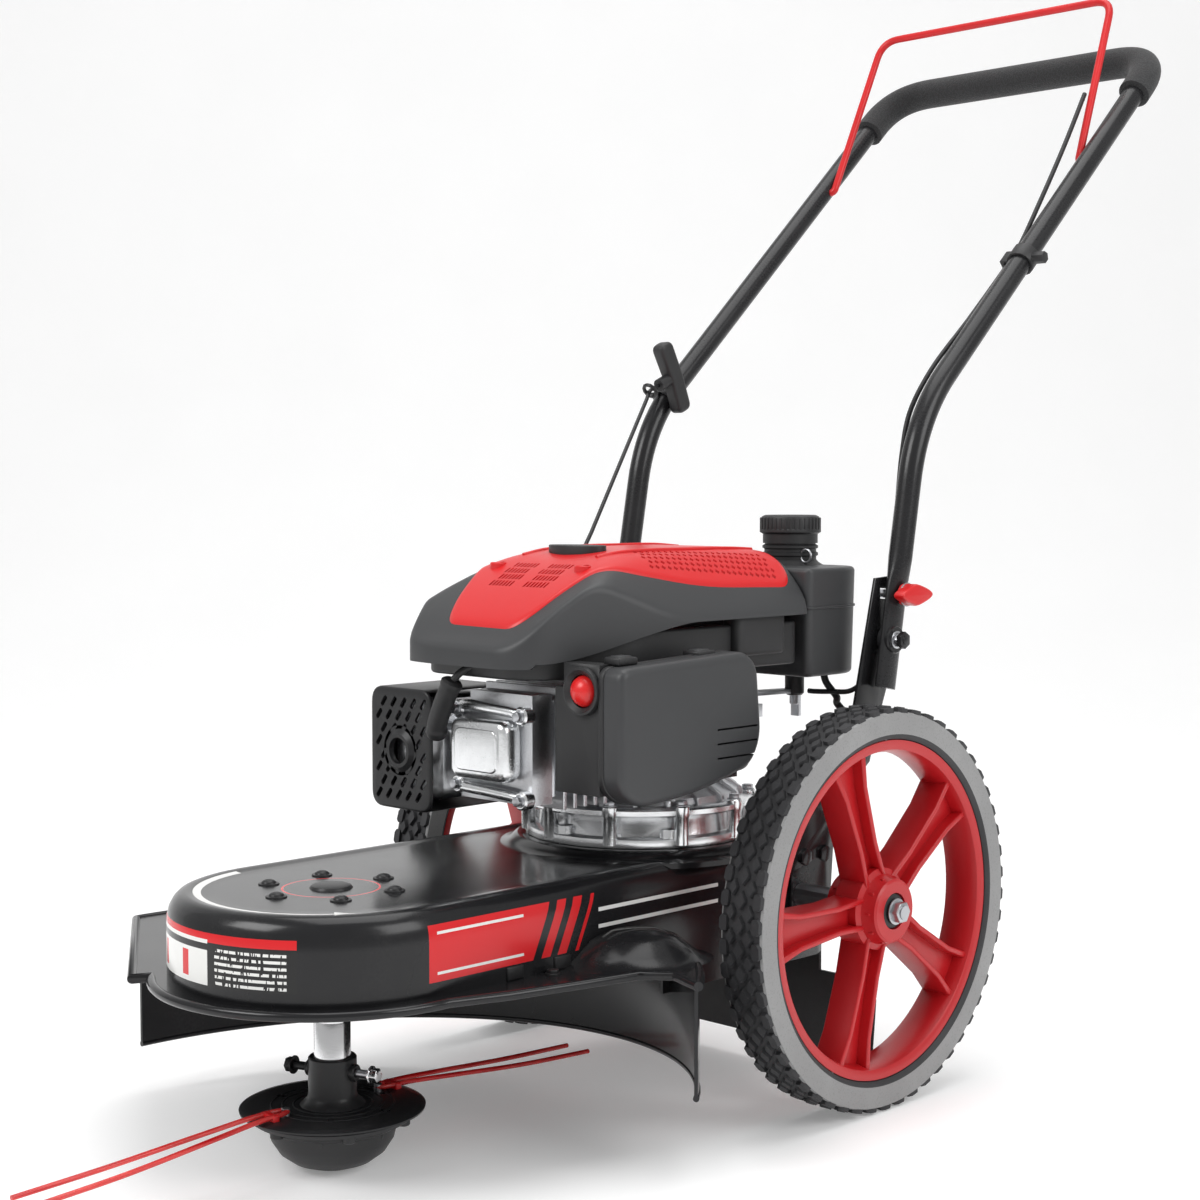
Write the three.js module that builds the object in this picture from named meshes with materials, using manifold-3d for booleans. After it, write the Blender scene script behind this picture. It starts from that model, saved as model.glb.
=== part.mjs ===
// Walk-behind string trimmer: two tall wheels, a belt-driven line head in front,
// a vertical-shaft petrol engine on a pressed deck, and a U handle with a brake bail.
// Millimetres, +Z up, the head at -Y, the handle at +Y, the axle along X.
import * as THREE from 'three';
import Module from 'manifold-3d';
import { mergeVertices } from 'three/addons/utils/BufferGeometryUtils.js';

const wasm = await Module();
wasm.setup();

// Clearances
const gap = 0.3;
const runGap = 0.6;

// Wheels and axle
const wheelRadius = 178;
const tyreWidth = 45;
const trackOuter = 467;
const rimRadius = 149;
const rimWall = 4;
const rimWidth = 38;
const hubRadius = 36;
const hubLength = 56;
const spokeCount = 5;
const spokeWidth = 34;
const axleRadius = 6.3;
const bearingRadius = 15.5;

// Deck
const deckHalfWidth = 130;
const deckTop = 228;
const deckEdge = 14;
const deckRear = 46;
const deckHem = 160;
const deckRearHem = 118;
const sheet = 2.5;
const hemWidth = 12;

// Line head
const headY = -432;
const spindleRadius = 19;
const spindleTop = 166;
const spindleBottom = 62;
const discRadius = 75;
const discZ = 44;
const lineReach = 280;
const lineRadius = 2.2;
const lineDroop = 14;
const linePost = 3.4;
const postOffset = 47;

// String guard, an arc round the head
const guardX = 7;
const guardRadius = 291;
const guardWall = 3;
const guardLow = 57;
const guardTilt = 0.045;
const guardStart = 36;
const guardEnd = 180;

// Belt drive
const drivenRadius = 60;
const driveRadius = 30;
const grooveDepth = 12;
const beltThick = 8;
const beltHeight = 9;
const pulleyHeight = 15;
const beltZ = 178;

// Engine
const engineX = 20;
const engineY = -95;
const seatTop = 235;
const sumpRadius = 103;
const sumpTop = 262;
const crankRadius = 11;
const shroudZ = 389;
const cowlLip = 404;
const tankLeft = -45;
const tankRight = 139;
const tankRearY = 97;
const tankLow = 374;
const tankTop = 474;
const neckRadius = 24;
const capX = 60;
const capY = 72;
const capRadius = 29;

// Handle
const handleX = 172.4;
const tubeRadius = 11;
const tubeWall = 1.6;
const elbowBend = 28;
const gripBend = 50;
const pivotY = 80;
const pivotZ = 408;
const elbowY = 118;
const elbowZ = 612;
const gripY = 545;
const gripZ = 1003;
const gripRadius = 16;
const gripDown = 68;
const bailRadius = 4;
const bailPin = 3;
const bailPivotY = 413;
const bailPivotZ = 880;
const bailTopX = 149;
const bailTopY = 490;
const bailTopZ = 1058;
const bracketWall = 3;
const boltRadius = 4;

const turn = Math.PI / 180;

// ---------- solids ----------

function solid(geometry) {
  let flat = geometry.clone();
  flat.deleteAttribute('normal');
  flat.deleteAttribute('uv');
  flat = mergeVertices(flat, 1e-4);
  return new wasm.Manifold(new wasm.Mesh({
    numProp: 3,
    vertProperties: new Float32Array(flat.attributes.position.array),
    triVerts: new Uint32Array(flat.index.array),
  }));
}

function geometryOf(body) {
  const mesh = body.getMesh();
  const geometry = new THREE.BufferGeometry();
  geometry.setAttribute('position', new THREE.BufferAttribute(mesh.vertProperties, 3));
  geometry.setIndex(new THREE.BufferAttribute(mesh.triVerts, 1));
  geometry.computeVertexNormals();
  return geometry;
}

function block(x0, x1, y0, y1, z0, z1) {
  const geometry = new THREE.BoxGeometry(x1 - x0, y1 - y0, z1 - z0);
  geometry.translate((x0 + x1) / 2, (y0 + y1) / 2, (z0 + z1) / 2);
  return solid(geometry);
}

// An outline in X and Y raised from z0 to z1.
function slab(shape, z0, z1, curveSegments = 12) {
  const geometry = new THREE.ExtrudeGeometry(shape, { depth: z1 - z0, bevelEnabled: false, curveSegments });
  geometry.translate(0, 0, z0);
  return solid(geometry);
}

// An outline in X and Y with a rounded rim at both ends, flush with z0 and z1.
function pillow(shape, z0, z1, round, curveSegments = 12, steps = 3) {
  const geometry = new THREE.ExtrudeGeometry(shape, {
    depth: z1 - z0 - 2 * round,
    bevelThickness: round,
    bevelSize: round,
    bevelOffset: -round,
    bevelSegments: steps,
    curveSegments,
  });
  geometry.translate(0, 0, z0 + round);
  return solid(geometry);
}

// An outline given in Y and Z, raised along X from x0 to x1.
function sideSlab(shape, x0, x1, curveSegments = 8) {
  const geometry = new THREE.ExtrudeGeometry(shape, { depth: x1 - x0, bevelEnabled: false, curveSegments });
  geometry.applyMatrix4(new THREE.Matrix4().makeBasis(
    new THREE.Vector3(0, 1, 0), new THREE.Vector3(0, 0, 1), new THREE.Vector3(1, 0, 0),
  ));
  geometry.translate(x0, 0, 0);
  return solid(geometry);
}

// An outline given in X and Z, raised along Y from y0 to y1.
function frontSlab(shape, y0, y1, curveSegments = 8) {
  const geometry = new THREE.ExtrudeGeometry(shape, { depth: y1 - y0, bevelEnabled: false, curveSegments });
  geometry.rotateX(Math.PI / 2);
  geometry.translate(0, y1, 0);
  return solid(geometry);
}

function polygon(points) {
  return new THREE.Shape(points.map(([x, y]) => new THREE.Vector2(x, y)));
}

function roundedBox(x0, x1, y0, y1, r) {
  const shape = new THREE.Shape();
  shape.moveTo(x0 + r, y0);
  shape.lineTo(x1 - r, y0);
  shape.absarc(x1 - r, y0 + r, r, -Math.PI / 2, 0, false);
  shape.lineTo(x1, y1 - r);
  shape.absarc(x1 - r, y1 - r, r, 0, Math.PI / 2, false);
  shape.lineTo(x0 + r, y1);
  shape.absarc(x0 + r, y1 - r, r, Math.PI / 2, Math.PI, false);
  shape.lineTo(x0, y0 + r);
  shape.absarc(x0 + r, y0 + r, r, Math.PI, Math.PI * 1.5, false);
  return shape;
}

// A round bar of the given length, centred on a point, along X, Y or Z.
function bar(radius, length, axis, centre, sides = 20) {
  const geometry = new THREE.CylinderGeometry(radius, radius, length, sides);
  if (axis === 'x') geometry.rotateZ(Math.PI / 2);
  if (axis === 'z') geometry.rotateX(Math.PI / 2);
  geometry.translate(...centre);
  return solid(geometry);
}

// A profile of [radius, height] pairs turned about Z; it starts and ends on the axis
// or closes on itself.
function turned(profile, sides = 28) {
  const geometry = new THREE.LatheGeometry(profile.map(([r, z]) => new THREE.Vector2(r, z)), sides);
  geometry.rotateX(Math.PI / 2);
  return outward(solid(geometry), geometry);
}

// A lathe turned the wrong way round has its faces flipped.
function outward(body, geometry) {
  if (body.volume() > 0) return body;
  const index = geometry.index.array;
  for (let i = 0; i < index.length; i += 3) {
    [index[i + 1], index[i + 2]] = [index[i + 2], index[i + 1]];
  }
  return solid(geometry);
}

function ring(outer, inner, z0, z1, sides = 28) {
  return turned([[inner, z0], [outer, z0], [outer, z1], [inner, z1], [inner, z0]], sides);
}

// A path through chosen points, one cross-section at each.
class BentPath extends THREE.Curve {
  constructor(points) {
    super();
    this.points = points;
  }

  getPoint(t) {
    const at = t * (this.points.length - 1);
    const i = Math.min(Math.floor(at + 1e-9), this.points.length - 2);
    return this.points[i].clone().lerp(this.points[i + 1], at - i);
  }

  getPointAt(u) {
    return this.getPoint(u);
  }

  getSpacedPoints() {
    return this.points.map((p) => p.clone());
  }

  getTangentAt(u) {
    const i = Math.round(u * (this.points.length - 1));
    const before = this.points[Math.max(i - 1, 0)];
    const here = this.points[i];
    const after = this.points[Math.min(i + 1, this.points.length - 1)];
    const inwards = here.clone().sub(before).normalize();
    const onwards = after.clone().sub(here).normalize();
    return inwards.add(onwards).normalize();
  }
}

// Rounds each corner of a line of points with an arc that starts `radius` before it;
// a list of radii gives each inner corner its own.
function bends(corners, radius, steps = 4) {
  const points = corners.map((p) => new THREE.Vector3(...p));
  const path = [points[0]];
  for (let i = 1; i < points.length - 1; i++) {
    const back = points[i - 1].clone().sub(points[i]);
    const ahead = points[i + 1].clone().sub(points[i]);
    const wanted = Array.isArray(radius) ? radius[i - 1] : radius;
    const fromLimit = back.length() * (i === 1 ? 0.9 : 0.48);
    const toLimit = ahead.length() * (i === points.length - 2 ? 0.9 : 0.48);
    const reach = Math.min(wanted, fromLimit, toLimit);
    const from = points[i].clone().add(back.setLength(reach));
    const to = points[i].clone().add(ahead.setLength(reach));
    const arc = new THREE.QuadraticBezierCurve3(from, points[i], to);
    path.push(...arc.getPoints(steps));
  }
  path.push(points[points.length - 1]);
  return path;
}

function tube(points, radius, sides = 10) {
  const circle = new THREE.Shape();
  circle.absarc(0, 0, radius, 0, Math.PI * 2, false);
  const geometry = new THREE.ExtrudeGeometry(circle, {
    steps: points.length - 1,
    curveSegments: sides / 2,
    extrudePath: new BentPath(points),
  });
  return outward(solid(geometry), mergeVertices(bare(geometry)));
}

function bare(geometry) {
  const copy = geometry.clone();
  copy.deleteAttribute('normal');
  copy.deleteAttribute('uv');
  return copy;
}

function hexHead(radius, height, axis, centre) {
  return bar(radius, height, axis, centre, 6);
}

// ---------- materials ----------

function finish(color, roughness, metalness) {
  return new THREE.MeshStandardMaterial({ color, roughness, metalness });
}

const finishes = {
  paint: finish(0x0d0d0f, 0.28, 0.1),
  tube: finish(0x101113, 0.3, 0.2),
  plastic: finish(0x36383b, 0.6, 0),
  blackPlastic: finish(0x141416, 0.5, 0),
  red: finish(0xd6181b, 0.4, 0),
  rim: finish(0xc4141a, 0.45, 0),
  cast: finish(0xb9bcc0, 0.42, 0.9),
  chrome: finish(0xd8d8da, 0.15, 1),
  steel: finish(0x8c9096, 0.4, 0.9),
  rubber: finish(0x1a1a1c, 0.85, 0),
  foam: finish(0x2e2f31, 0.95, 0),
  nylon: finish(0xd42a2e, 0.3, 0),
  felt: finish(0xd9cfb4, 0.95, 0),
};

const machine = new THREE.Group();
machine.name = 'trimmer';

function part(name, material, body, parent = machine) {
  const mesh = new THREE.Mesh(geometryOf(body), finishes[material]);
  mesh.name = name;
  parent.add(mesh);
  return mesh;
}

// ---------- deck ----------

// The bolts of the handle brackets, and the six round the head that hold the spindle housing.
const deckBoltY = [4, 32];
const deckBoltZ = 212;
const spindleBoltRadius = 3;
const spindleBolts = [0, 60, 120, 180, 240, 300].map((a) => [
  54 * Math.cos(a * turn), headY + 54 * Math.sin(a * turn),
]);

function deckOutline(inset, rear = deckRear) {
  const r = deckHalfWidth - inset;
  const shape = new THREE.Shape();
  shape.moveTo(r, rear - inset);
  shape.lineTo(-r, rear - inset);
  shape.lineTo(-r, headY);
  shape.absarc(0, headY, r, Math.PI, Math.PI * 2, false);
  shape.lineTo(r, rear - inset);
  return shape;
}

// Points of an arc level with the head, in degrees from +X towards +Y.
function headArc(radius, from, to, steps, x = 0) {
  const points = [];
  for (let i = 0; i <= steps; i++) {
    const a = (from + ((to - from) * i) / steps) * turn;
    points.push([x + radius * Math.cos(a), headY + radius * Math.sin(a)]);
  }
  return points;
}

// The hem that sticks out below the front wall and widens into a wing on each side.
function hemPlate() {
  const hemRadius = deckHalfWidth + hemWidth;
  const wings = polygon([
    ...headArc(guardRadius, guardStart, guardEnd, 22, guardX),
    [-94, headY - 126],
    ...headArc(hemRadius, 232, 360, 14),
    [158, headY + 47],
    [184, headY + 164],
    [206, headY + 184],
  ]);
  return slab(wings, deckHem - sheet, deckHem);
}

function deckShell() {
  const low = 90;
  const outer = pillow(deckOutline(0), low, deckTop, deckEdge, 11, 2);
  const inner = pillow(deckOutline(sheet), low - 30, deckTop - sheet, deckEdge - sheet, 11, 1);
  const wide = 400;
  const seat = turned([[0, deckTop - 1], [sumpRadius + 14, deckTop - 1], [sumpRadius + 7, seatTop], [0, seatTop]], 24);
  const front = block(-wide, wide, -900, -180, 0, deckHem - sheet);
  const rear = block(-wide, wide, -181, 200, 0, deckRearHem);
  const spindleHole = bar(18, 20, 'z', [0, headY, deckTop]);
  const crankHole = bar(46, 30, 'z', [engineX, engineY, deckTop], 20);
  const axleHole = bar(axleRadius + gap, 400, 'x', [0, 0, wheelRadius], 12);
  let shell = outer.subtract(front).subtract(rear).add(hemPlate()).subtract(inner).add(atCrank(seat));
  for (const y of deckBoltY) {
    shell = shell.subtract(bar(boltRadius + gap, 400, 'x', [0, y, deckBoltZ], 8));
  }
  for (const [x, y] of spindleBolts) {
    shell = shell.subtract(bar(spindleBoltRadius + gap, 20, 'z', [x, y, deckTop], 6));
  }
  return shell.subtract(spindleHole).subtract(crankHole).subtract(axleHole).add(idlerPost());
}

function stringGuard() {
  const outside = headArc(guardRadius - gap, guardStart + 0.5, guardEnd - 0.5, 22, guardX);
  const inside = headArc(guardRadius - gap - guardWall, guardEnd - 0.5, guardStart + 0.5, 22, guardX);
  const lip = headArc(guardRadius - 22, guardEnd - 0.5, guardStart + 0.5, 22, guardX);
  const top = deckHem - sheet - gap;
  const under = block(-500, 500, -900, 200, -200, guardLow).rotate([0, -Math.atan(guardTilt) / turn, 0]);
  const skirt = slab(polygon([...outside, ...inside]), 20, top).subtract(under);
  const flange = slab(polygon([...outside, ...lip]), top - guardWall, top);
  const x = deckHalfWidth + gap;
  return skirt.add(flange).subtract(block(-x, x, -181 - gap, 200, deckRearHem - gap, 400));
}

const flapY = deckRear + gap;

function rearFlap() {
  const shape = new THREE.Shape();
  shape.moveTo(-178, 24);
  shape.lineTo(178, 24);
  shape.lineTo(182, 80);
  shape.quadraticCurveTo(182, 98, 164, 98);
  shape.lineTo(118, 98);
  shape.lineTo(118, 166);
  shape.lineTo(-118, 166);
  shape.lineTo(-118, 98);
  shape.lineTo(-164, 98);
  shape.quadraticCurveTo(-182, 98, -182, 80);
  return frontSlab(shape, flapY, flapY + 4, 5);
}

function flapStrip() {
  const y = flapY + 4 + gap;
  let strip = block(-112, 112, y, y + 3, 146, 162);
  for (const x of [-90, 0, 90]) {
    strip = strip.add(hexHead(6, 4.2, 'y', [x, y + 5, 154]));
  }
  return strip;
}

// ---------- handle brackets ----------

const bracketX = handleX - tubeRadius - gap - bracketWall;
const knobReach = 42;
const lowerAngle = Math.atan2(elbowZ - pivotZ, elbowY - pivotY);
const knobY = pivotY + knobReach * Math.cos(lowerAngle);
const knobZ = pivotZ + knobReach * Math.sin(lowerAngle);

// The slot follows the knob bolt about the pivot and leaves through the rear edge.
function knobSlot() {
  const wide = boltRadius + 0.8;
  const outer = [];
  const inner = [];
  for (let a = lowerAngle / turn + 12; a >= -8; a -= 12) {
    const c = Math.cos(a * turn);
    const s = Math.sin(a * turn);
    outer.push([pivotY + (knobReach + wide) * c, pivotZ + (knobReach + wide) * s]);
    inner.unshift([pivotY + (knobReach - wide) * c, pivotZ + (knobReach - wide) * s]);
  }
  return sideSlab(polygon([...outer, ...inner].reverse()), bracketX - 6, bracketX + 9);
}

// A plate on the deck side that steps outwards to the handle and carries its pivot.
function handleBracket(side) {
  const inX = deckHalfWidth + gap;
  const section = polygon([
    [inX, 150], [inX + bracketWall, 150], [inX + bracketWall, 252], [bracketX + bracketWall, 296],
    [bracketX + bracketWall, 470], [bracketX, 470], [bracketX, 298], [inX, 254],
  ]);
  const outline = polygon([
    [-12, 152], [42, 152], [50, 250], [76, 330], [100, 386], [113, 440], [103, 466],
    [72, 464], [58, 410], [40, 340], [-4, 262], [-14, 200],
  ]);
  let plate = frontSlab(section, -60, 160).intersect(sideSlab(outline, inX - 5, handleX));
  plate = plate.subtract(bar(axleRadius + gap, 60, 'x', [inX, 0, wheelRadius], 12));
  plate = plate.subtract(knobSlot());
  for (const y of deckBoltY) {
    plate = plate.add(bar(boltRadius, 18, 'x', [inX - 6, y, deckBoltZ], 8))
      .add(hexHead(8, 4, 'x', [inX + bracketWall + 2, y, deckBoltZ]));
  }
  plate = plate.add(pivotStud());
  return side > 0 ? plate : plate.mirror([1, 0, 0]);
}

// The pivot is a stud welded to the plate, with its nut outside the tube.
function pivotStud() {
  const from = bracketX + 1;
  const to = handleX + tubeRadius + runGap;
  return bar(boltRadius, to - from + 6, 'x', [(from + to + 6) / 2, pivotY, pivotZ], 12)
    .add(hexHead(8, 5, 'x', [to + 2.5, pivotY, pivotZ]));
}

// ---------- axle and wheels ----------

const wheelX = (trackOuter - tyreWidth) / 2;
const hubOut = wheelX + hubLength / 2;
const hubIn = wheelX - hubLength / 2;
const wheelSides = 24;

function axle() {
  const half = hubOut + runGap + 10;
  let rod = bar(axleRadius, 2 * half, 'x', [0, 0, wheelRadius], 12);
  const from = deckHalfWidth + gap + bracketWall + gap;
  for (const side of [-1, 1]) {
    const length = hubIn - runGap - from;
    rod = rod.add(bar(11, length, 'x', [side * (from + length / 2), 0, wheelRadius], 14));
  }
  return rod;
}

function axleNut(side) {
  const x = hubOut + runGap;
  const washer = bar(14, 1.6, 'x', [side * (x + 0.8), 0, wheelRadius], 16);
  const nut = hexHead(11, 8, 'x', [side * (x + 5.4), 0, wheelRadius]);
  return washer.add(nut).subtract(bar(axleRadius + gap, 60, 'x', [side * x, 0, wheelRadius], 12));
}

// The moulded rim is turned about its own axle line, with its open face outwards.
function rim(side) {
  const half = rimWidth / 2;
  const deep = rimRadius - rimWall;
  let body = turned([
    [deep - 6, -13], [deep, -13], [deep, -half], [rimRadius, -half], [rimRadius, half], [deep, half],
    [deep, -7], [deep - 6, -7], [deep - 6, -13],
  ], wheelSides);
  body = body.add(bar(hubRadius, hubLength, 'z', [0, 0, 0], 16));
  for (let i = 0; i < spokeCount; i++) {
    body = body.add(spoke().rotate([0, 0, 110 + (360 / spokeCount) * i]));
  }
  body = body.subtract(bar(bearingRadius + gap, hubLength + 2, 'z', [0, 0, 0], 12));
  return toWheel(body, side);
}

// A spoke is a wide web with two raised ribs that spread towards the rim.
function spoke() {
  const half = spokeWidth / 2;
  const reach = rimRadius - 6;
  const web = slab(polygon([[hubRadius - 4, -half], [reach, -half - 5], [reach, half + 5], [hubRadius - 4, half]]), -10, -4);
  const rib = (s) => slab(polygon([
    [hubRadius - 4, s * half - 4], [reach, s * (half + 5) - 4], [reach, s * (half + 5) + 4], [hubRadius - 4, s * half + 4],
  ]), -10, 12);
  return web.add(rib(1)).add(rib(-1));
}

// From a wheel built about Z to its place on the axle; its open face ends outermost.
function toWheel(body, side) {
  const placed = body.rotate([0, 90, 0]);
  return side > 0 ? placed : placed.mirror([1, 0, 0]);
}

function tyre(side) {
  const half = tyreWidth / 2;
  const seat = rimRadius + gap;
  const body = turned([
    [seat, -half + 3], [wheelRadius - 12, -half], [wheelRadius - 2.5, -half + 4], [wheelRadius, -half + 12],
    [wheelRadius, half - 12], [wheelRadius - 2.5, half - 4], [wheelRadius - 12, half], [seat, half - 3],
    [seat, -half + 3],
  ], wheelSides);
  return toWheel(body, side);
}

function hubBush(side) {
  return toWheel(ring(bearingRadius, axleRadius + gap, -hubLength / 2, hubLength / 2 + 0.3, 12), side);
}

// ---------- line head ----------

function atHead(body) {
  return body.translate([0, headY, 0]);
}

const seatRadius = 8;
const cartridgeRadius = 17.2;

function spindleShaft() {
  return atHead(turned([
    [0, spindleBottom], [spindleRadius, spindleBottom], [spindleRadius, spindleTop],
    [seatRadius, spindleTop], [seatRadius, deckTop - 1], [0, deckTop - 1],
  ], 20));
}

function spindleHousing() {
  const top = deckTop - sheet - gap;
  let body = atHead(turned([
    [cartridgeRadius + gap, 189], [24, 189], [26, top - 7], [66, top - 6], [66, top], [cartridgeRadius + gap, top],
    [cartridgeRadius + gap, 189],
  ], 20));
  for (const [x, y] of spindleBolts) {
    body = body.add(bar(spindleBoltRadius, deckTop - top + 5, 'z', [x, y, (top + deckTop) / 2], 6));
    body = body.add(bar(6.5, 4, 'z', [x, y, deckTop + gap + 2], 10));
  }
  return body;
}

function spindleBearing() {
  return atHead(ring(cartridgeRadius, seatRadius + gap, 191, 222, 20));
}

// A pulley with one belt groove, on a bore of its own.
function pulley(radius, bore) {
  const low = beltZ - pulleyHeight / 2;
  const high = beltZ + pulleyHeight / 2;
  const groove = radius - grooveDepth;
  const half = beltHeight / 2 + runGap;
  return turned([
    [bore, low], [radius, low], [radius, beltZ - half], [groove, beltZ - half], [groove, beltZ + half],
    [radius, beltZ + half], [radius, high], [bore, high], [bore, low],
  ], 20);
}

function headCollar() {
  let body = turned([
    [spindleRadius + gap, discZ + 2.6], [34, discZ + 2.6], [34, discZ + 7], [25, discZ + 9], [24, 86],
    [spindleRadius + gap, 86], [spindleRadius + gap, discZ + 2.6],
  ], 20);
  for (const side of [-1, 1]) {
    const a = 44.6 * turn;
    const c = [side * 27 * Math.cos(a), side * 27 * Math.sin(a), 78];
    const boss = new THREE.CylinderGeometry(7, 7, 12, 10);
    boss.rotateZ(Math.PI / 2);
    boss.rotateZ(a);
    boss.translate(...c);
    const head = new THREE.CylinderGeometry(5, 5, 18, 6);
    head.rotateZ(Math.PI / 2);
    head.rotateZ(a);
    head.translate(c[0] * 1.1, c[1] * 1.1, c[2]);
    body = body.add(solid(boss)).add(solid(head));
  }
  return atHead(body.subtract(bar(spindleRadius + gap, 60, 'z', [0, 0, 80], 20)));
}

function cuttingDisc() {
  let body = turned([
    [0, discZ - 4], [30, discZ - 4], [58, discZ - 2], [discRadius, discZ], [discRadius, discZ + 2.4],
    [58, discZ + 0.4], [34, discZ + 2.2], [0, discZ + 2.2],
  ], 20);
  for (let i = 0; i < 8; i++) {
    const slot = block(58, 70, -2.5, 2.5, 30, 60);
    body = body.subtract(slot.rotate([0, 0, 22.5 + i * 45]));
  }
  for (const side of [-1, 1]) {
    const post = bar(linePost, 22, 'z', [0, side * postOffset, discZ + 9], 10);
    body = body.add(post).add(bar(6.5, 4, 'z', [0, side * postOffset, discZ + 20], 10));
  }
  return atHead(body);
}

function lineBowl() {
  return atHead(turned([
    [0, 0], [14, 0], [29, 8], [38, 17], [41, 25], [54, 30], [56, 34], [55, discZ - 4.8], [28, discZ - 4.8],
    [26, discZ - 4.3], [0, discZ - 4.3],
  ], 20));
}

// One length of line folded round its post, both strands thrown outwards.
function trimmerLine(side) {
  const z = discZ + 10;
  const eye = linePost + lineRadius + gap;
  const path = [[-15, -lineReach, z - lineDroop], [-eye - 1, -postOffset - 26, z - 1], [-eye, -postOffset - 4, z]];
  for (let a = 180; a >= 0; a -= 30) {
    path.push([eye * Math.cos(a * turn), -postOffset + eye * Math.sin(a * turn), z]);
  }
  path.push([eye, -postOffset - 4, z], [eye + 1, -postOffset - 26, z - 1], [12, -lineReach, z - lineDroop]);
  const body = tube(path.map((p) => new THREE.Vector3(...p)), lineRadius, 8);
  return atHead(side < 0 ? body : body.rotate([0, 0, 180]));
}

// ---------- belt drive ----------

const beltRun = Math.hypot(engineX, engineY - headY);
const beltAngle = Math.atan2(engineY - headY, engineX);

// The line round both pulleys at a distance from their groove floors.
function beltOutline(offset) {
  const a = drivenRadius - grooveDepth + offset;
  const b = driveRadius - grooveDepth + offset;
  const lean = Math.acos((a - b) / beltRun);
  const shape = new THREE.Shape();
  shape.absarc(0, headY, a, beltAngle + lean, beltAngle - lean + Math.PI * 2, false);
  shape.absarc(engineX, engineY, b, beltAngle - lean, beltAngle + lean, false);
  return shape;
}

function belt() {
  const low = beltZ - beltHeight / 2;
  const high = beltZ + beltHeight / 2;
  return slab(beltOutline(gap + beltThick), low, high, 9)
    .subtract(slab(beltOutline(gap), low - 1, high + 1, 9));
}

const idlerRadius = 21;
const idlerAlong = 190;

// The idler wheel touches the outside of the belt's -X run.
function idlerPlace() {
  const a = drivenRadius - grooveDepth + gap + beltThick;
  const b = driveRadius - grooveDepth + gap + beltThick;
  const lean = Math.acos((a - b) / beltRun);
  const out = beltAngle + lean;
  const off = a + gap + idlerRadius;
  const run = Math.PI / 2 - lean;
  return [
    off * Math.cos(out) + idlerAlong * Math.cos(out - Math.PI / 2),
    headY + off * Math.sin(out) + idlerAlong * Math.sin(out - Math.PI / 2),
    run,
  ];
}

const [idlerX, idlerY] = idlerPlace();
const armX = idlerX - 12;
const armY = idlerY + 62;
const armZ = beltZ + 9;

function idlerArm() {
  const long = Math.hypot(idlerX - armX, idlerY - armY);
  let arm = slab(roundedBox(-9, long + 9, -9, 9, 8.9), armZ, armZ + 4, 5)
    .subtract(bar(5 + gap, 20, 'z', [0, 0, armZ], 12))
    .add(bar(4, 12, 'z', [long, 0, armZ - 4], 12));
  arm = arm.add(block(-6, 6, 6, 22, armZ, armZ + 4)).add(bar(2.5, 9, 'z', [0, 18, armZ - 2.5], 10));
  return arm.rotate([0, 0, Math.atan2(idlerY - armY, idlerX - armX) / turn]).translate([armX, armY, 0]);
}

// The post is welded under the deck's top.
function idlerPost() {
  const top = deckTop - sheet + 0.5;
  return bar(5, top - armZ + 4, 'z', [armX, armY, (top + armZ - 4) / 2], 16)
    .add(bar(14, 4, 'z', [armX, armY, top - 2], 20))
    .add(bar(9, 2.4, 'z', [armX, armY, armZ - 4], 16));
}

function idlerPulley() {
  return ring(idlerRadius, 4 + gap, beltZ - 6.5, beltZ + 5.5, 18).translate([idlerX, idlerY, 0]);
}

function idlerSpring() {
  const turnBy = Math.atan2(idlerY - armY, idlerX - armX) + Math.PI / 2;
  const hookX = armX + 18 * Math.cos(turnBy);
  const hookY = armY + 18 * Math.sin(turnBy);
  const z = armZ - 5;
  const path = [[hookX + 3.4, hookY + 6, z], [hookX, hookY + 14, z], [hookX - 6, hookY + 70, z]];
  return tube(bends(path, 4), 3.6, 8);
}

// ---------- engine ----------

function atCrank(body) {
  return body.translate([engineX, engineY, 0]);
}

const engineBase = seatTop + gap;
const blockTop = 352;
const flywheelZ = 396;
const dipstickX = -76;

function sump() {
  let body = atCrank(turned([
    [crankRadius + gap, engineBase], [sumpRadius, engineBase], [sumpRadius, engineBase + 8],
    [sumpRadius - 12, engineBase + 8], [sumpRadius - 14, sumpTop], [crankRadius + gap, sumpTop],
    [crankRadius + gap, engineBase],
  ], 24));
  for (let i = 0; i < 6; i++) {
    const a = (30 + i * 60) * turn;
    body = body.add(atCrank(bar(8, 16, 'z', [
      (sumpRadius - 9) * Math.cos(a), (sumpRadius - 9) * Math.sin(a), engineBase + 8,
    ], 8)));
  }
  body = body.add(bar(10, 40, 'z', [dipstickX, engineY, 272], 18));
  return body.subtract(bar(5, 70, 'z', [dipstickX, engineY, 275], 14));
}

function dipstick() {
  return bar(3, 48, 'z', [dipstickX, engineY, 270], 10)
    .add(bar(12, 9, 'z', [dipstickX, engineY, 292 + gap + 4.5], 18))
    .add(block(dipstickX - 14, dipstickX + 14, engineY - 2, engineY + 2, 295, 306));
}

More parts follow.
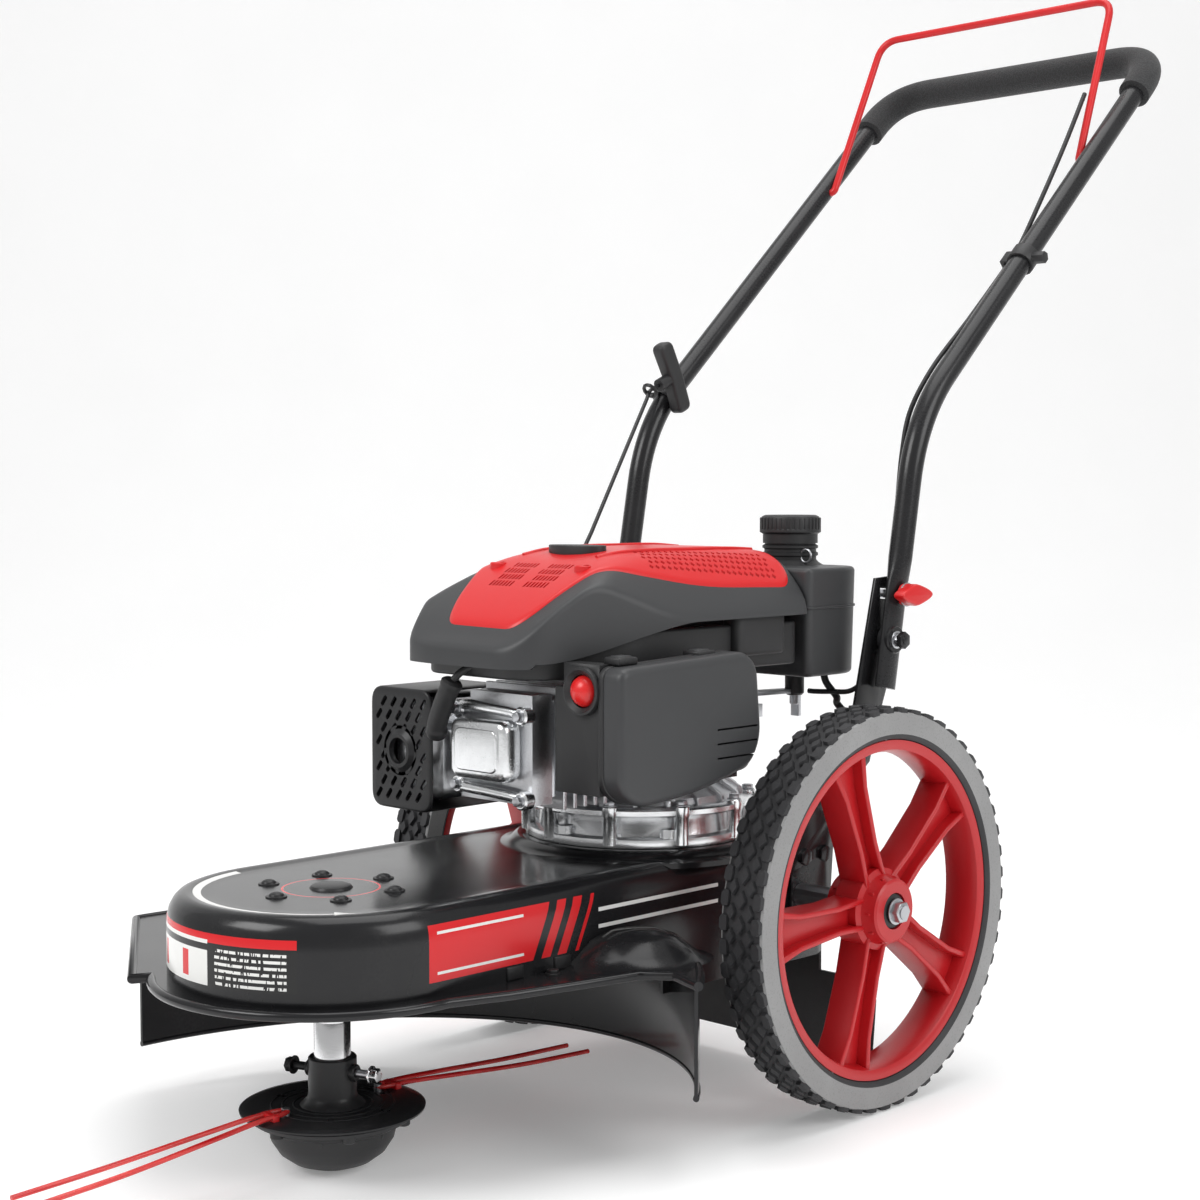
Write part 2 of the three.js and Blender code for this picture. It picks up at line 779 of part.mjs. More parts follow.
function cylinderBlock() {
  let body = atCrank(turned([
    [crankRadius + gap, sumpTop + gap], [82, sumpTop + gap], [82, 272], [77, 280], [73, blockTop],
    [40, 372], [24, 384], [crankRadius + gap, 384], [crankRadius + gap, sumpTop + gap],
  ], 20));
  body = body.add(block(-2, 72, -262, -140, 288, 370));
  for (const y of [-204, -216, -228, -240, -252]) {
    body = body.add(block(-13, 83, y, y + 4, 278, 380));
  }
  body = body.add(block(52, 84, -50, 4, 336, 348)).add(bar(4, 26, 'z', [leverX, leverY, 353], 14));
  body = body.add(bar(7, 2.4, 'z', [leverX, leverY, 366], 12));
  return body.subtract(atCrank(bar(crankRadius + gap, 300, 'z', [0, 0, 320], 20)));
}

function crankshaft() {
  return atCrank(turned([
    [0, beltZ - 12], [crankRadius, beltZ - 12], [crankRadius, 384.5], [14, 384.5], [14, flywheelZ - gap],
    [8, flywheelZ - gap], [8, 444], [0, 444],
  ], 20));
}

function flywheel() {
  let body = turned([
    [8 + gap, flywheelZ], [66, flywheelZ], [70, flywheelZ + 4], [70, flywheelZ + 22], [62, flywheelZ + 22],
    [60, flywheelZ + 8], [20, flywheelZ + 8], [20, flywheelZ + 20], [8 + gap, flywheelZ + 20],
    [8 + gap, flywheelZ],
  ], 18);
  for (let i = 0; i < 6; i++) {
    body = body.add(block(30, 64, -1.5, 1.5, flywheelZ + 7, flywheelZ + 18).rotate([0, 0, i * 60]));
  }
  return atCrank(body);
}

const starterZ = 432;

function starterPulley() {
  return atCrank(turned([
    [8 + gap, starterZ - 8], [34, starterZ - 8], [34, starterZ - 5], [26, starterZ - 4], [26, starterZ + 4],
    [34, starterZ + 5], [34, starterZ + 8], [8 + gap, starterZ + 8], [8 + gap, starterZ - 8],
  ], 18));
}

function cylinderHead() {
  let body = block(-24, 80, -285, -262.3, 284, 376);
  body = body.subtract(block(-26, -8, -290, -250, 283, 322)).subtract(block(-26, 4, -290, -250, 366, 380));
  return body.subtract(bar(4 + gap, 30, 'y', [plugX, -280, plugZ], 12));
}

const plugX = -14;
const plugZ = 345;

function valveCover() {
  const shape = roundedBox(0, 70, 303, 355, 10);
  const geometry = new THREE.ExtrudeGeometry(shape, {
    depth: 8, bevelThickness: 7, bevelSize: 6, bevelOffset: -6, bevelSegments: 2, curveSegments: 2,
  });
  geometry.rotateX(Math.PI / 2);
  geometry.translate(0, -285.3 - 7, 0);
  return solid(geometry);
}

function sparkPlug() {
  return bar(4, 16, 'y', [plugX, -277.5, plugZ], 12)
    .add(hexHead(8, 5, 'y', [plugX, -288, plugZ]))
    .add(bar(4.5, 22, 'y', [plugX, -301, plugZ], 12));
}

// The boot covers the plug and its arm rises to the ignition lead.
function sparkBoot() {
  const body = bar(9.5, 26, 'y', [plugX, -306, plugZ], 14);
  const arm = tube(bends([[plugX, -310, plugZ], [2, -311, 368], [10, -311, 384]], 8, 2), 6, 10);
  return body.add(arm).subtract(bar(4.8, 30, 'y', [plugX, -299, plugZ], 14));
}

function muffler() {
  const shape = roundedBox(-108, -42, 274, 366, 12);
  const geometry = new THREE.ExtrudeGeometry(shape, {
    depth: 62, bevelThickness: 6, bevelSize: 6, bevelOffset: -6, bevelSegments: 2, curveSegments: 2,
  });
  geometry.rotateX(Math.PI / 2);
  geometry.translate(0, -208, 0);
  return solid(geometry)
    .add(bar(8, 32, 'x', [-29.5, -240, 330], 16))
    .add(bar(9, 16, 'y', [-75, -282, 318], 16));
}

// A pierced cage round the hot muffler, open behind.
function mufflerGuard() {
  const shape = roundedBox(-115, -33.5, 266, 373, 14);
  const inner = roundedBox(-113, -35.5, 268, 371, 12);
  let cage = frontSlab(shape, -297, -206, 3).subtract(frontSlab(inner, -295, -200, 3));
  cage = cage.subtract(bar(11.5, 30, 'y', [-75, -296, 318], 18));
  for (const [x, z] of guardHoles) {
    cage = cage.subtract(bar(5, 12, 'y', [x, -296, z], 6));
  }
  return cage.subtract(bar(9.5, 12, 'x', [-34, -240, 330], 16));
}

const guardHoles = [];
for (const row of [-2, -1, 0, 1, 2]) {
  for (const column of [-1.5, -0.5, 0.5, 1.5]) {
    const x = -75 + column * 17 + (row % 2 ? 4 : 0);
    const z = 318 + row * 19;
    if (Math.hypot(x + 75, z - 318) > 18 && x > -108 && x < -42) guardHoles.push([x, z]);
  }
}

// ---------- cowl, cover and tank ----------

const cowlFront = -322;
const cowlLeft = -72;
const cowlRight = 146;
const cowlMiddle = (cowlLeft + cowlRight) / 2;
const cowlRear = 2;

// The cowl's outer form, drawn in by `inset` on every side.
function cowlForm(inset) {
  const plan = roundedBox(cowlLeft + inset, cowlRight - inset, cowlFront + inset, cowlRear - inset, 46 - inset);
  const top = slab(plan, shroudZ - 20, 520, 6);
  const side = polygon([
    [cowlFront, shroudZ - 20], [20, shroudZ - 20], [20, 472 - inset], [-14, 490 - inset], [-150, 495 - inset],
    [-222, 490 - inset], [-292, 438 - inset], [cowlFront, 404 - inset], [cowlFront - 10, 398 - inset],
  ]);
  const arch = new THREE.Shape();
  arch.moveTo(cowlLeft, shroudZ - 20);
  arch.lineTo(cowlRight, shroudZ - 20);
  arch.lineTo(cowlRight, 440 - inset);
  arch.quadraticCurveTo(cowlRight - 18, 474 - inset, cowlMiddle + 46, 490 - inset);
  arch.lineTo(cowlMiddle, 496 - inset);
  arch.lineTo(cowlMiddle - 46, 490 - inset);
  arch.quadraticCurveTo(cowlLeft + 22, 462 - inset, cowlLeft, 418 - inset);
  return top.intersect(sideSlab(side, -200, 250)).intersect(frontSlab(arch, -400, 100, 4));
}

// The space that the red cover takes up, wider or narrower by `grow`.
function coverZone(grow) {
  const plan = polygon([
    [-8 - grow, -330], [84 + grow, -330], [124 + grow, -210], [130 + grow, -40], [96 + grow, 30],
    [-30 - grow, 30], [-60 - grow, -60], [-56 - grow, -200],
  ]);
  const side = polygon([
    [-302 - grow, 418 - grow], [-200, 436 - grow], [-100, 450 - grow], [0 + grow, 464 - grow], [0 + grow, 600],
    [-302 - grow, 600],
  ]);
  return slab(plan, 300, 600).intersect(sideSlab(side, -200, 250));
}

const wall = 3;

function engineShroud() {
  let shell = cowlForm(0).subtract(cowlForm(wall));
  shell = shell.subtract(block(-200, 250, -400, 100, 0, shroudZ));
  shell = shell.subtract(coverZone(gap / 2));
  const lip = block(-200, 250, -400, -262, 300, cowlLip);
  const panelNotch = block(110, 200, primerY - 6, -262, 300, 409);
  return largest(shell.subtract(lip).subtract(panelNotch).subtract(ropeSpace()));
}

function topCover() {
  let shell = cowlForm(0).subtract(cowlForm(wall)).intersect(coverZone(-gap / 2));
  for (let i = 0; i < 6; i++) {
    shell = shell.subtract(block(-12 + i * 18, -2 + i * 18, -262, -250, 430, 500));
  }
  return largest(shell.subtract(ropeSpace()));
}

// Keeps the main body of a cut shell.
function largest(body) {
  const pieces = body.decompose();
  return pieces.reduce((a, b) => (b.volume() > a.volume() ? b : a));
}

// The tank's outline, wide towards the intake side, drawn in by `inset`.
function tankOutline(inset) {
  const front = cowlRear + gap + inset;
  const rear = tankRearY - inset;
  const left = tankLeft + inset;
  const right = tankRight - inset;
  const small = 44 - inset;
  const large = 66 - inset;
  const shape = new THREE.Shape();
  shape.moveTo(left, front);
  shape.lineTo(right, front);
  shape.absarc(right - large, rear - large, large, 0, Math.PI / 2, false);
  shape.absarc(left + small, rear - small, small, Math.PI / 2, Math.PI, false);
  return shape;
}

function fuelTank() {
  const plan = tankOutline(0);
  const inner = tankOutline(wall);
  const neck = bar(neckRadius, 40, 'z', [capX, capY, tankTop + 6], 16);
  const body = pillow(plan, tankLow, tankTop, 14, 5, 2).add(neck);
  return body.subtract(pillow(inner, tankLow + wall, tankTop - wall, 11, 4, 1))
    .subtract(bar(neckRadius - 4, 60, 'z', [capX, capY, tankTop + 10], 12));
}

function fuelCap() {
  const low = tankTop + 20;
  const body = turned([
    [neckRadius + runGap, low], [capRadius, low], [capRadius, low + 18], [capRadius - 5, low + 25],
    [0, low + 27], [0, low + 8], [neckRadius + runGap, low + 8], [neckRadius + runGap, low],
  ], 18);
  return body.translate([capX, capY, 0]);
}

// ---------- intake ----------

const coverX = 157;
const primerX = 139;
const primerY = -284;
const primerZ = 384;

function intakeHousing() {
  const side = coverX - gap;
  let body = block(106, side, primerY, -116, 300, 386).subtract(block(110, side + 1, primerY + 18, -120, 304, 382));
  body = body.add(block(116, side, primerY, primerY + 19, 300, 406));
  body = body.subtract(bar(15.8, 26, 'y', [primerX, primerY, primerZ], 18));
  return body.add(block(83.4, 107, -238, -208, 330, 362));
}

function primerBulb() {
  const profile = [[0, 0], [15, 0], [15, 4], [12, 9], [6, 12], [0, 13]];
  return turned(profile, 18).rotate([90, 0, 0]).translate([primerX, primerY + 3, primerZ]);
}

function airFilter() {
  return block(118, coverX + 14, -254, -136, 322, 378);
}

function airFilterCover() {
  const front = primerY - 3;
  const rear = -112;
  const shape = new THREE.Shape();
  shape.moveTo(front, 302);
  shape.quadraticCurveTo(front, 290, front + 12, 290);
  shape.lineTo(rear - 32, 303);
  shape.quadraticCurveTo(rear, 310, rear, 336);
  shape.lineTo(rear - 5, 392);
  shape.quadraticCurveTo(rear - 8, 410, rear - 26, 411);
  shape.lineTo(front + 16, 412);
  shape.quadraticCurveTo(front, 412, front, 396);
  const outer = new THREE.ExtrudeGeometry(shape, {
    depth: 20, bevelThickness: 7, bevelSize: 6, bevelOffset: -6, bevelSegments: 2, curveSegments: 4,
  });
  outer.applyMatrix4(new THREE.Matrix4().makeBasis(
    new THREE.Vector3(0, 1, 0), new THREE.Vector3(0, 0, 1), new THREE.Vector3(1, 0, 0),
  ));
  outer.translate(coverX, 0, 0);
  const form = solid(outer).intersect(block(coverX, 300, -400, 0, 200, 500));
  return form.subtract(block(coverX - 1, coverX + 21, front + 14, rear - 16, 314, 400));
}

// ---------- brake lever and cable ----------

const leverX = 70;
const leverY = -5;
const leverZ = 355;

function brakeLever() {
  const shape = polygon([[-8, -8], [8, -8], [19, 60], [8, 64]]);
  return slab(shape, leverZ, leverZ + 4)
    .add(bar(8.5, 4, 'z', [0, 0, leverZ + 2], 14))
    .subtract(bar(4 + gap, 20, 'z', [0, 0, leverZ], 14))
    .add(block(8, 17, 57, 61, leverZ - 22, leverZ + 1))
    .translate([leverX, leverY, 0]);
}

const cableRadius = 2.4;
const cableX = handleX - tubeRadius - cableRadius - 1;

function tubeZ(y) {
  return elbowZ + ((gripZ - elbowZ) / (gripY - elbowY)) * (y - elbowY);
}

// The clamp sits where the cable meets the handle; the cable then leads to the lever.
const clampY = 291;
const cableRoute = [
  [149, 438, 953], [153, 395, 896], [157, 345, 834], [cableX, clampY + 12, tubeZ(clampY + 12)],
  [cableX, clampY - 12, tubeZ(clampY - 12)], [158, 220, 708], [156.5, 160, 656], [155, 130, 616], [154.4, 120, 580],
  [154, 112, 520], [154, 102, 460], [153, 94, 410], [147, 84, 376], [134, 72, 359], [118, 62, 357.5],
  [103, 56.5, 357], [96, 56.5, 357],
];

function brakeCable() {
  const curve = new THREE.CatmullRomCurve3(cableRoute.map((p) => new THREE.Vector3(...p)), false, 'centripetal');
  return tube(curve.getSpacedPoints(30), cableRadius, 8);
}

// ---------- handle ----------

// The handle's line, up one side, across the grip bar and down the other.
const low = [handleX, pivotY - 46 * Math.cos(lowerAngle), pivotZ - 46 * Math.sin(lowerAngle)];
const handleLine = [low, [handleX, elbowY, elbowZ], [handleX, gripY, gripZ]];
const handleBends = [elbowBend, gripBend, gripBend, elbowBend];

function mirrored(points) {
  return points.map(([x, y, z]) => [-x, y, z]).reverse();
}

function handleTube() {
  const path = bends([...handleLine, ...mirrored(handleLine)], handleBends, 3);
  let body = tube(path, tubeRadius, 12);
  const bore = path.map((p) => p.clone());
  for (const end of [0, bore.length - 1]) {
    bore[end].z -= 4;
  }
  body = body.subtract(tube(bore, tubeRadius - tubeWall, 8));
  for (const [y, z] of [[pivotY, pivotZ], [knobY, knobZ]]) {
    body = body.subtract(bar(boltRadius + gap + 0.2, 500, 'x', [0, y, z], 12));
  }
  return body.subtract(bar(bailPin + gap, 400, 'x', [0, bailPivotY, bailPivotZ], 8));
}

// The foam runs round the top bar and a short way down both sides.
function foamGrip() {
  const upwards = new THREE.Vector3(0, gripY - elbowY, gripZ - elbowZ).normalize();
  const side = (down) => [handleX, gripY - upwards.y * down, gripZ - upwards.z * down];
  const form = (down, radius, sides) => tube(bends([
    side(down), [handleX, gripY, gripZ], [-handleX, gripY, gripZ], ...mirrored([side(down)]),
  ], gripBend, 3), radius, sides);
  return form(gripDown, gripRadius, 12).subtract(form(gripDown + 20, tubeRadius + gap, 12));
}

function bail() {
  const x = handleX - tubeRadius - runGap - 3;
  const leg = [[x - 1, bailPivotY, bailPivotZ], [bailTopX, bailTopY, bailTopZ]];
  let wire = tube(bends([...leg, ...mirrored(leg)], 26, 3), bailRadius, 8);
  for (const side of [-1, 1]) {
    wire = wire.add(bar(bailPin, 16, 'x', [side * (x + 4), bailPivotY, bailPivotZ], 10));
  }
  return wire;
}

function knob(side) {
  const x = handleX + tubeRadius + gap;
  let body = bar(11, 14, 'x', [x + 7.2, knobY, knobZ], 16);
  body = body.add(wing().translate([0, knobY, knobZ]));
  body = body.subtract(hexHead(6, 8, 'x', [x + 13, knobY, knobZ]));
  body = body.add(bar(boltRadius, 34, 'x', [x - 12, knobY, knobZ], 12));
  return side > 0 ? body : body.mirror([1, 0, 0]);
}

function wing() {
  const x = handleX + tubeRadius + gap;
  const outline = polygon([
    [-23, -5], [-14, -8], [0, -10], [14, -8], [23, -5], [23, 5], [14, 8], [0, 10], [-14, 8], [-23, 5],
  ]);
  return sideSlab(outline, x + 3, x + 13);
}

function cableClamp() {
  const y = clampY;
  const z = tubeZ(y);
  const lean = Math.atan2(gripZ - elbowZ, gripY - elbowY) / turn;
  let body = ring(tubeRadius + 3, tubeRadius + gap, -8, 8, 14);
  body = body.add(block(-tubeRadius - 10, -tubeRadius - 1.5, -5, 5, -8, 8));
  body = body.subtract(bar(cableRadius + 1, 30, 'z', [-(handleX - cableX), 0, 0], 10));
  body = body.subtract(bar(tubeRadius + gap, 30, 'z', [0, 0, 0], 14));
  body = body.add(hexHead(6, 12, 'x', [tubeRadius + 8, 0, 0]));
  return body.rotate([lean - 90, 0, 0]).translate([handleX, y, z]);
}

// ---------- starter ----------

const eyePoint = [-150, 101, 646];
const pullCentre = [-150, 134, 661];
const pullDirection = new THREE.Vector3(0, 0.909, 0.416);
const ropeRadius = 2;

function alongPull(distance) {
  return new THREE.Vector3(...pullCentre).addScaledVector(pullDirection, distance).toArray();
}

const ropeRoute = [
  [-14, -104, starterZ], [-44, -108, starterZ + 2], [-66, -106, 443], [-91, -44, 504], [-121, 29, 575],
  [-146, 91, 636], eyePoint, alongPull(-22), alongPull(-12),
];

function ropePath() {
  const curve = new THREE.CatmullRomCurve3(ropeRoute.map((p) => new THREE.Vector3(...p)), false, 'centripetal');
  return curve.getSpacedPoints(20);
}

function starterRope() {
  return tube(ropePath(), ropeRadius, 8);
}

function ropeSpace() {
  return tube(ropePath(), ropeRadius + 1.6, 8);
}

function starterHandle() {
  const lean = 90 - Math.atan2(pullDirection.y, pullDirection.z) / turn;
  let body = pillow(roundedBox(-8, 8, -6.5, 6.5, 6), -38, 38, 3, 3, 1);
  body = body.add(bar(5, 22, 'y', [0, -9, 0], 12)).subtract(bar(ropeRadius + 1, 16, 'y', [0, -16, 0], 10));
  return body.rotate([lean, 0, 0]).translate(pullCentre);
}

// A wire eye on a band round the far handle tube.
function ropeGuide() {
  const y = 150;
  const z = tubeZ(y);
  const lean = Math.atan2(gripZ - elbowZ, gripY - elbowY) / turn;
  const band = ring(tubeRadius + 2.6, tubeRadius + gap, -6, 6, 14)
    .rotate([lean - 90, 0, 0]).translate([-handleX, y, z]);
  const eye = new THREE.TorusGeometry(7.5, 2, 6, 12);
  const eyeBody = outward(solid(eye), mergeVertices(bare(eye))).rotate([-51, 0, 0]).translate(eyePoint);
  const arm = tube(bends([
    [-handleX, y - 9, z + 5], [-handleX + 1, y - 24, z + 2], [-157.5, 101, 646],
  ], 6), 2, 8);
  const hollow = bar(tubeRadius + gap, 40, 'z', [0, 0, 0], 14)
    .rotate([lean - 90, 0, 0]).translate([-handleX, y, z]);
  return band.add(arm).add(eyeBody).subtract(hollow);
}

// ---------- assembly ----------

part('deck_shell', 'paint', deckShell());
part('string_guard', 'blackPlastic', stringGuard());
part('rear_flap', 'rubber', rearFlap());
part('flap_strip', 'steel', flapStrip());
part('axle', 'steel', axle());

for (const [name, side] of [['left', 1], ['right', -1]]) {
  part(`handle_bracket_${name}`, 'paint', handleBracket(side));
  part(`knob_${name}`, 'red', knob(side));
  part(`axle_nut_${name}`, 'steel', axleNut(side));
  const wheel = new THREE.Group();
  wheel.name = `wheel_${name}`;
  wheel.position.set(side * wheelX, 0, wheelRadius);
  machine.add(wheel);
  part(`rim_${name}`, 'rim', rim(side), wheel);
  part(`tyre_${name}`, 'rubber', tyre(side), wheel);
  part(`hub_bush_${name}`, 'blackPlastic', hubBush(side), wheel);
}

part('spindle_shaft', 'chrome', spindleShaft());
part('spindle_housing', 'cast', spindleHousing());
part('spindle_bearing', 'steel', spindleBearing());
part('driven_pulley', 'steel', atHead(pulley(drivenRadius, seatRadius + gap)));
part('head_collar', 'tube', headCollar());
part('cutting_disc', 'tube', cuttingDisc());
part('line_bowl', 'blackPlastic', lineBowl());
part('line_front', 'nylon', trimmerLine(-1));
part('line_rear', 'nylon', trimmerLine(1));

part('belt', 'rubber', belt());
part('drive_pulley', 'steel', atCrank(pulley(driveRadius, crankRadius + gap)));
part('idler_arm', 'steel', idlerArm());
part('idler_pulley', 'steel', idlerPulley());
part('idler_spring', 'steel', idlerSpring());

part('sump', 'cast', sump());
part('dipstick', 'blackPlastic', dipstick());
part('cylinder_block', 'cast', cylinderBlock());
part('crankshaft', 'steel', crankshaft());
part('flywheel', 'cast', flywheel());
part('starter_pulley', 'blackPlastic', starterPulley());
part('cylinder_head', 'cast', cylinderHead());
part('valve_cover', 'cast', valveCover());
part('spark_plug', 'steel', sparkPlug());
part('spark_boot', 'rubber', sparkBoot());
part('muffler', 'cast', muffler());
part('muffler_guard', 'blackPlastic', mufflerGuard());
part('engine_shroud', 'plastic', engineShroud());
part('top_cover', 'red', topCover());
part('fuel_tank', 'plastic', fuelTank());
part('fuel_cap', 'blackPlastic', fuelCap());
part('intake_housing', 'plastic', intakeHousing());
part('primer_bulb', 'red', primerBulb());
part('air_filter', 'felt', airFilter());
part('air_filter_cover', 'plastic', airFilterCover());
part('brake_lever', 'steel', brakeLever());
part('brake_cable', 'rubber', brakeCable());

part('handle_tube', 'tube', handleTube());
part('foam_grip', 'foam', foamGrip());
part('bail', 'red', bail());
part('cable_clamp', 'blackPlastic', cableClamp());
part('rope_guide', 'steel', ropeGuide());
part('starter_handle', 'blackPlastic', starterHandle());
part('starter_rope', 'rubber', starterRope());

// The machine stands on z = 0 with the middle of its box over the origin.
const bounds = new THREE.Box3().setFromObject(machine);
machine.position.set(-(bounds.min.x + bounds.max.x) / 2, -(bounds.min.y + bounds.max.y) / 2, -bounds.min.z);

const trimmer = new THREE.Group();
trimmer.name = 'string_trimmer';
trimmer.add(machine);

export default trimmer;
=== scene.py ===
import math
import bpy
import bmesh
from mathutils import Matrix, Vector


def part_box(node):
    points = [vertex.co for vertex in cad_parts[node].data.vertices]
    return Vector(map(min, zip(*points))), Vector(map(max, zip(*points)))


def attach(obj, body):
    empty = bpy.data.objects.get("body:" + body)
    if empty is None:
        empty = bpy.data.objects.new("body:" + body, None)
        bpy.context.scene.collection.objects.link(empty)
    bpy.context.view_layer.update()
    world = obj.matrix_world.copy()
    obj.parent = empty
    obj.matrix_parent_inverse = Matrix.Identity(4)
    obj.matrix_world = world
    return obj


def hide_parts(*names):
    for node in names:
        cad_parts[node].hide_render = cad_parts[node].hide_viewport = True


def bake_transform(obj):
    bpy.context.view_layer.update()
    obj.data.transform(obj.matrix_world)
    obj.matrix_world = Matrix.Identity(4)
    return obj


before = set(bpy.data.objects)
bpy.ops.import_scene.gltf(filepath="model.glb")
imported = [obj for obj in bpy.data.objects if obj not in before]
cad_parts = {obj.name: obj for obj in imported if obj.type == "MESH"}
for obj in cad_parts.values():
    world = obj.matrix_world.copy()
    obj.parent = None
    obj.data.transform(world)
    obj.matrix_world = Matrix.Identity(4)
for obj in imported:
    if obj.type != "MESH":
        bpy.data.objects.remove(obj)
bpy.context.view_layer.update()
print("frame loaded")

axleLow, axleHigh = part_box("axle")
axleMiddle = (axleLow + axleHigh) / 2
mm = 0.001
wheelZ = 178                      # axle height
headY = -432                      # line head, ahead of the axle
engineX = 20                      # crankshaft
engineY = -95


# millimetres from the middle of the axle, height from the ground
def at(x, y, z):
    return Vector((axleMiddle.x + x * mm, axleMiddle.y + y * mm, z * mm))


# degrees round and up, lens in millimetres
view = {"place": (1299.5, -1442.3, 549.0), "azimuth": 44.6, "elevation": 3.2, "lens": 61.54}


def makeCamera():
    data = bpy.data.cameras.new("camera")
    data.lens = view["lens"]
    data.sensor_width = 36
    camera = bpy.data.objects.new("camera", data)
    bpy.context.scene.collection.objects.link(camera)
    turn, rise = math.radians(view["azimuth"]), math.radians(view["elevation"])
    back = Vector((math.sin(turn) * math.cos(rise), -math.cos(turn) * math.cos(rise), math.sin(rise)))
    camera.location = at(*view["place"])
    camera.rotation_euler = (-back).to_track_quat("-Z", "Y").to_euler()
    bpy.context.scene.camera = camera


makeCamera()


class Formula:
    # one shader value that can be used in ordinary arithmetic
    def __init__(self, tree, socket):
        self.tree = tree
        self.socket = socket

    def math(self, operation, *others, swap=False):
        node = self.tree.nodes.new("ShaderNodeMath")
        node.operation = operation
        values = [self, *others]
        if swap:
            values.reverse()
        for place, value in enumerate(values):
            if isinstance(value, Formula):
                self.tree.links.new(value.socket, node.inputs[place])
            else:
                node.inputs[place].default_value = value
        return Formula(self.tree, node.outputs[0])

    def __add__(self, other):
        return self.math("ADD", other)

    def __radd__(self, other):
        return self.math("ADD", other)

    def __sub__(self, other):
        return self.math("SUBTRACT", other)

    def __rsub__(self, other):
        return self.math("SUBTRACT", other, swap=True)

    def __mul__(self, other):
        return self.math("MULTIPLY", other)

    def __rmul__(self, other):
        return self.math("MULTIPLY", other)

    def __truediv__(self, other):
        return self.math("DIVIDE", other)

    def __rtruediv__(self, other):
        return self.math("DIVIDE", other, swap=True)

    def __pow__(self, other):
        return self.math("POWER", other)

    def __gt__(self, other):
        return self.math("GREATER_THAN", other)

    def __lt__(self, other):
        return self.math("LESS_THAN", other)

    def __and__(self, other):
        return self.math("MULTIPLY", other)

    def __or__(self, other):
        return self.math("MAXIMUM", other)

    def near(self, middle, half):
        return (self - middle).math("ABSOLUTE") < half

    def ramp(self, low, high, start=0.0, end=1.0):
        node = self.tree.nodes.new("ShaderNodeMapRange")
        self.tree.links.new(self.socket, node.inputs[0])
        for place, value in enumerate((low, high, start, end)):
            node.inputs[place + 1].default_value = value
        return Formula(self.tree, node.outputs[0])


class Surface:
    # a Principled material whose inputs are built up from formulas
    def __init__(self, name, **fixed):
        self.material = bpy.data.materials.new(name)
        self.material.use_nodes = True
        self.tree = self.material.node_tree
        self.shader = self.tree.nodes["Principled BSDF"]
        for key, value in fixed.items():
            self.shader.inputs[key.replace("_", " ")].default_value = value
        self.place = self.node("ShaderNodeTexCoord").outputs["Object"]
        split = self.node("ShaderNodeSeparateXYZ", Vector=self.place)
        self.x, self.y, self.z = (Formula(self.tree, s) for s in split.outputs)

    def node(self, kind, settings=None, **inputs):
        node = self.tree.nodes.new(kind)
        for key, value in (settings or {}).items():
            setattr(node, key, value)
        for key, value in inputs.items():
            self.feed(node.inputs[key.replace("_", " ")], value)
        return node

    def feed(self, socket, value):
        if isinstance(value, Formula):
            value = value.socket
        if isinstance(value, bpy.types.NodeSocket):
            self.tree.links.new(value, socket)
        else:
            socket.default_value = value

    def noise(self, scale, detail=3.0, stretch=None):
        place = self.place
        if stretch:
            place = self.node("ShaderNodeMapping", Vector=place, Scale=stretch).outputs[0]
        made = self.node("ShaderNodeTexNoise", Vector=place, Scale=scale, Detail=detail)
        return Formula(self.tree, made.outputs[0])

    def cells(self, scale):
        made = self.node("ShaderNodeTexVoronoi", Vector=self.place, Scale=scale)
        return Formula(self.tree, made.outputs[0])

    def mix(self, share, first, second):
        made = self.node("ShaderNodeMix", {"data_type": "RGBA"})
        self.feed(made.inputs[0], share)
        self.feed(made.inputs[6], first)
        self.feed(made.inputs[7], second)
        return made.outputs[2]

    def give(self, key, value):
        self.feed(self.shader.inputs[key], value)

    def bump(self, height, strength=0.3, distance=0.0005):
        made = self.node("ShaderNodeBump", Height=height, Strength=strength, Distance=distance)
        self.give("Normal", made.outputs[0])


def shade(r, g, b):
    return (r, g, b, 1.0)


# gloss coat with a faint orange peel, dust in patches and fine wiping marks
def paint(name, colour, roughness=0.22, peel=0.12, marks=None):
    made = Surface(name, Coat_Weight=0.10, Coat_Roughness=0.12, Specular_IOR_Level=0.30)
    patches = made.noise(14, 5)
    fine = made.noise(420, 2)
    dust = patches.ramp(0.52, 0.8) * fine.ramp(0.35, 0.75)
    base = made.mix(patches.ramp(0.3, 0.7) * 0.35, colour, shade(*(c * 1.5 + 0.004 for c in colour[:3])))
    base = made.mix(dust * 0.03, base, shade(0.35, 0.33, 0.30))
    if marks:
        base = marks(made, base)
    made.give("Base Color", base)
    made.give("Roughness", patches * 0.10 + fine * 0.05 + (roughness - 0.07))
    made.bump(made.noise(260, 2) + made.noise(900, 2) * 0.3, peel, 0.0003)
    return made.material


# moulded plastic with a spark-eroded grain and slightly paler rubbed patches
def plastic(name, colour, roughness=0.5, grain=0.25, rub=0.12):
    made = Surface(name)
    patches = made.noise(9, 4)
    grains = made.noise(1500, 3)
    base = made.mix(patches.ramp(0.45, 0.75) * rub, colour, shade(*(c * 1.6 + 0.02 for c in colour[:3])))
    base = made.mix(grains.ramp(0.3, 0.5, 0.12, 0.0), base, shade(*(c * 0.5 for c in colour[:3])))
    made.give("Base Color", base)
    made.give("Roughness", grains * 0.12 + patches * 0.1 + (roughness - 0.1))
    made.bump(grains + made.cells(2400) * 0.5, grain, 0.0003)
    return made.material


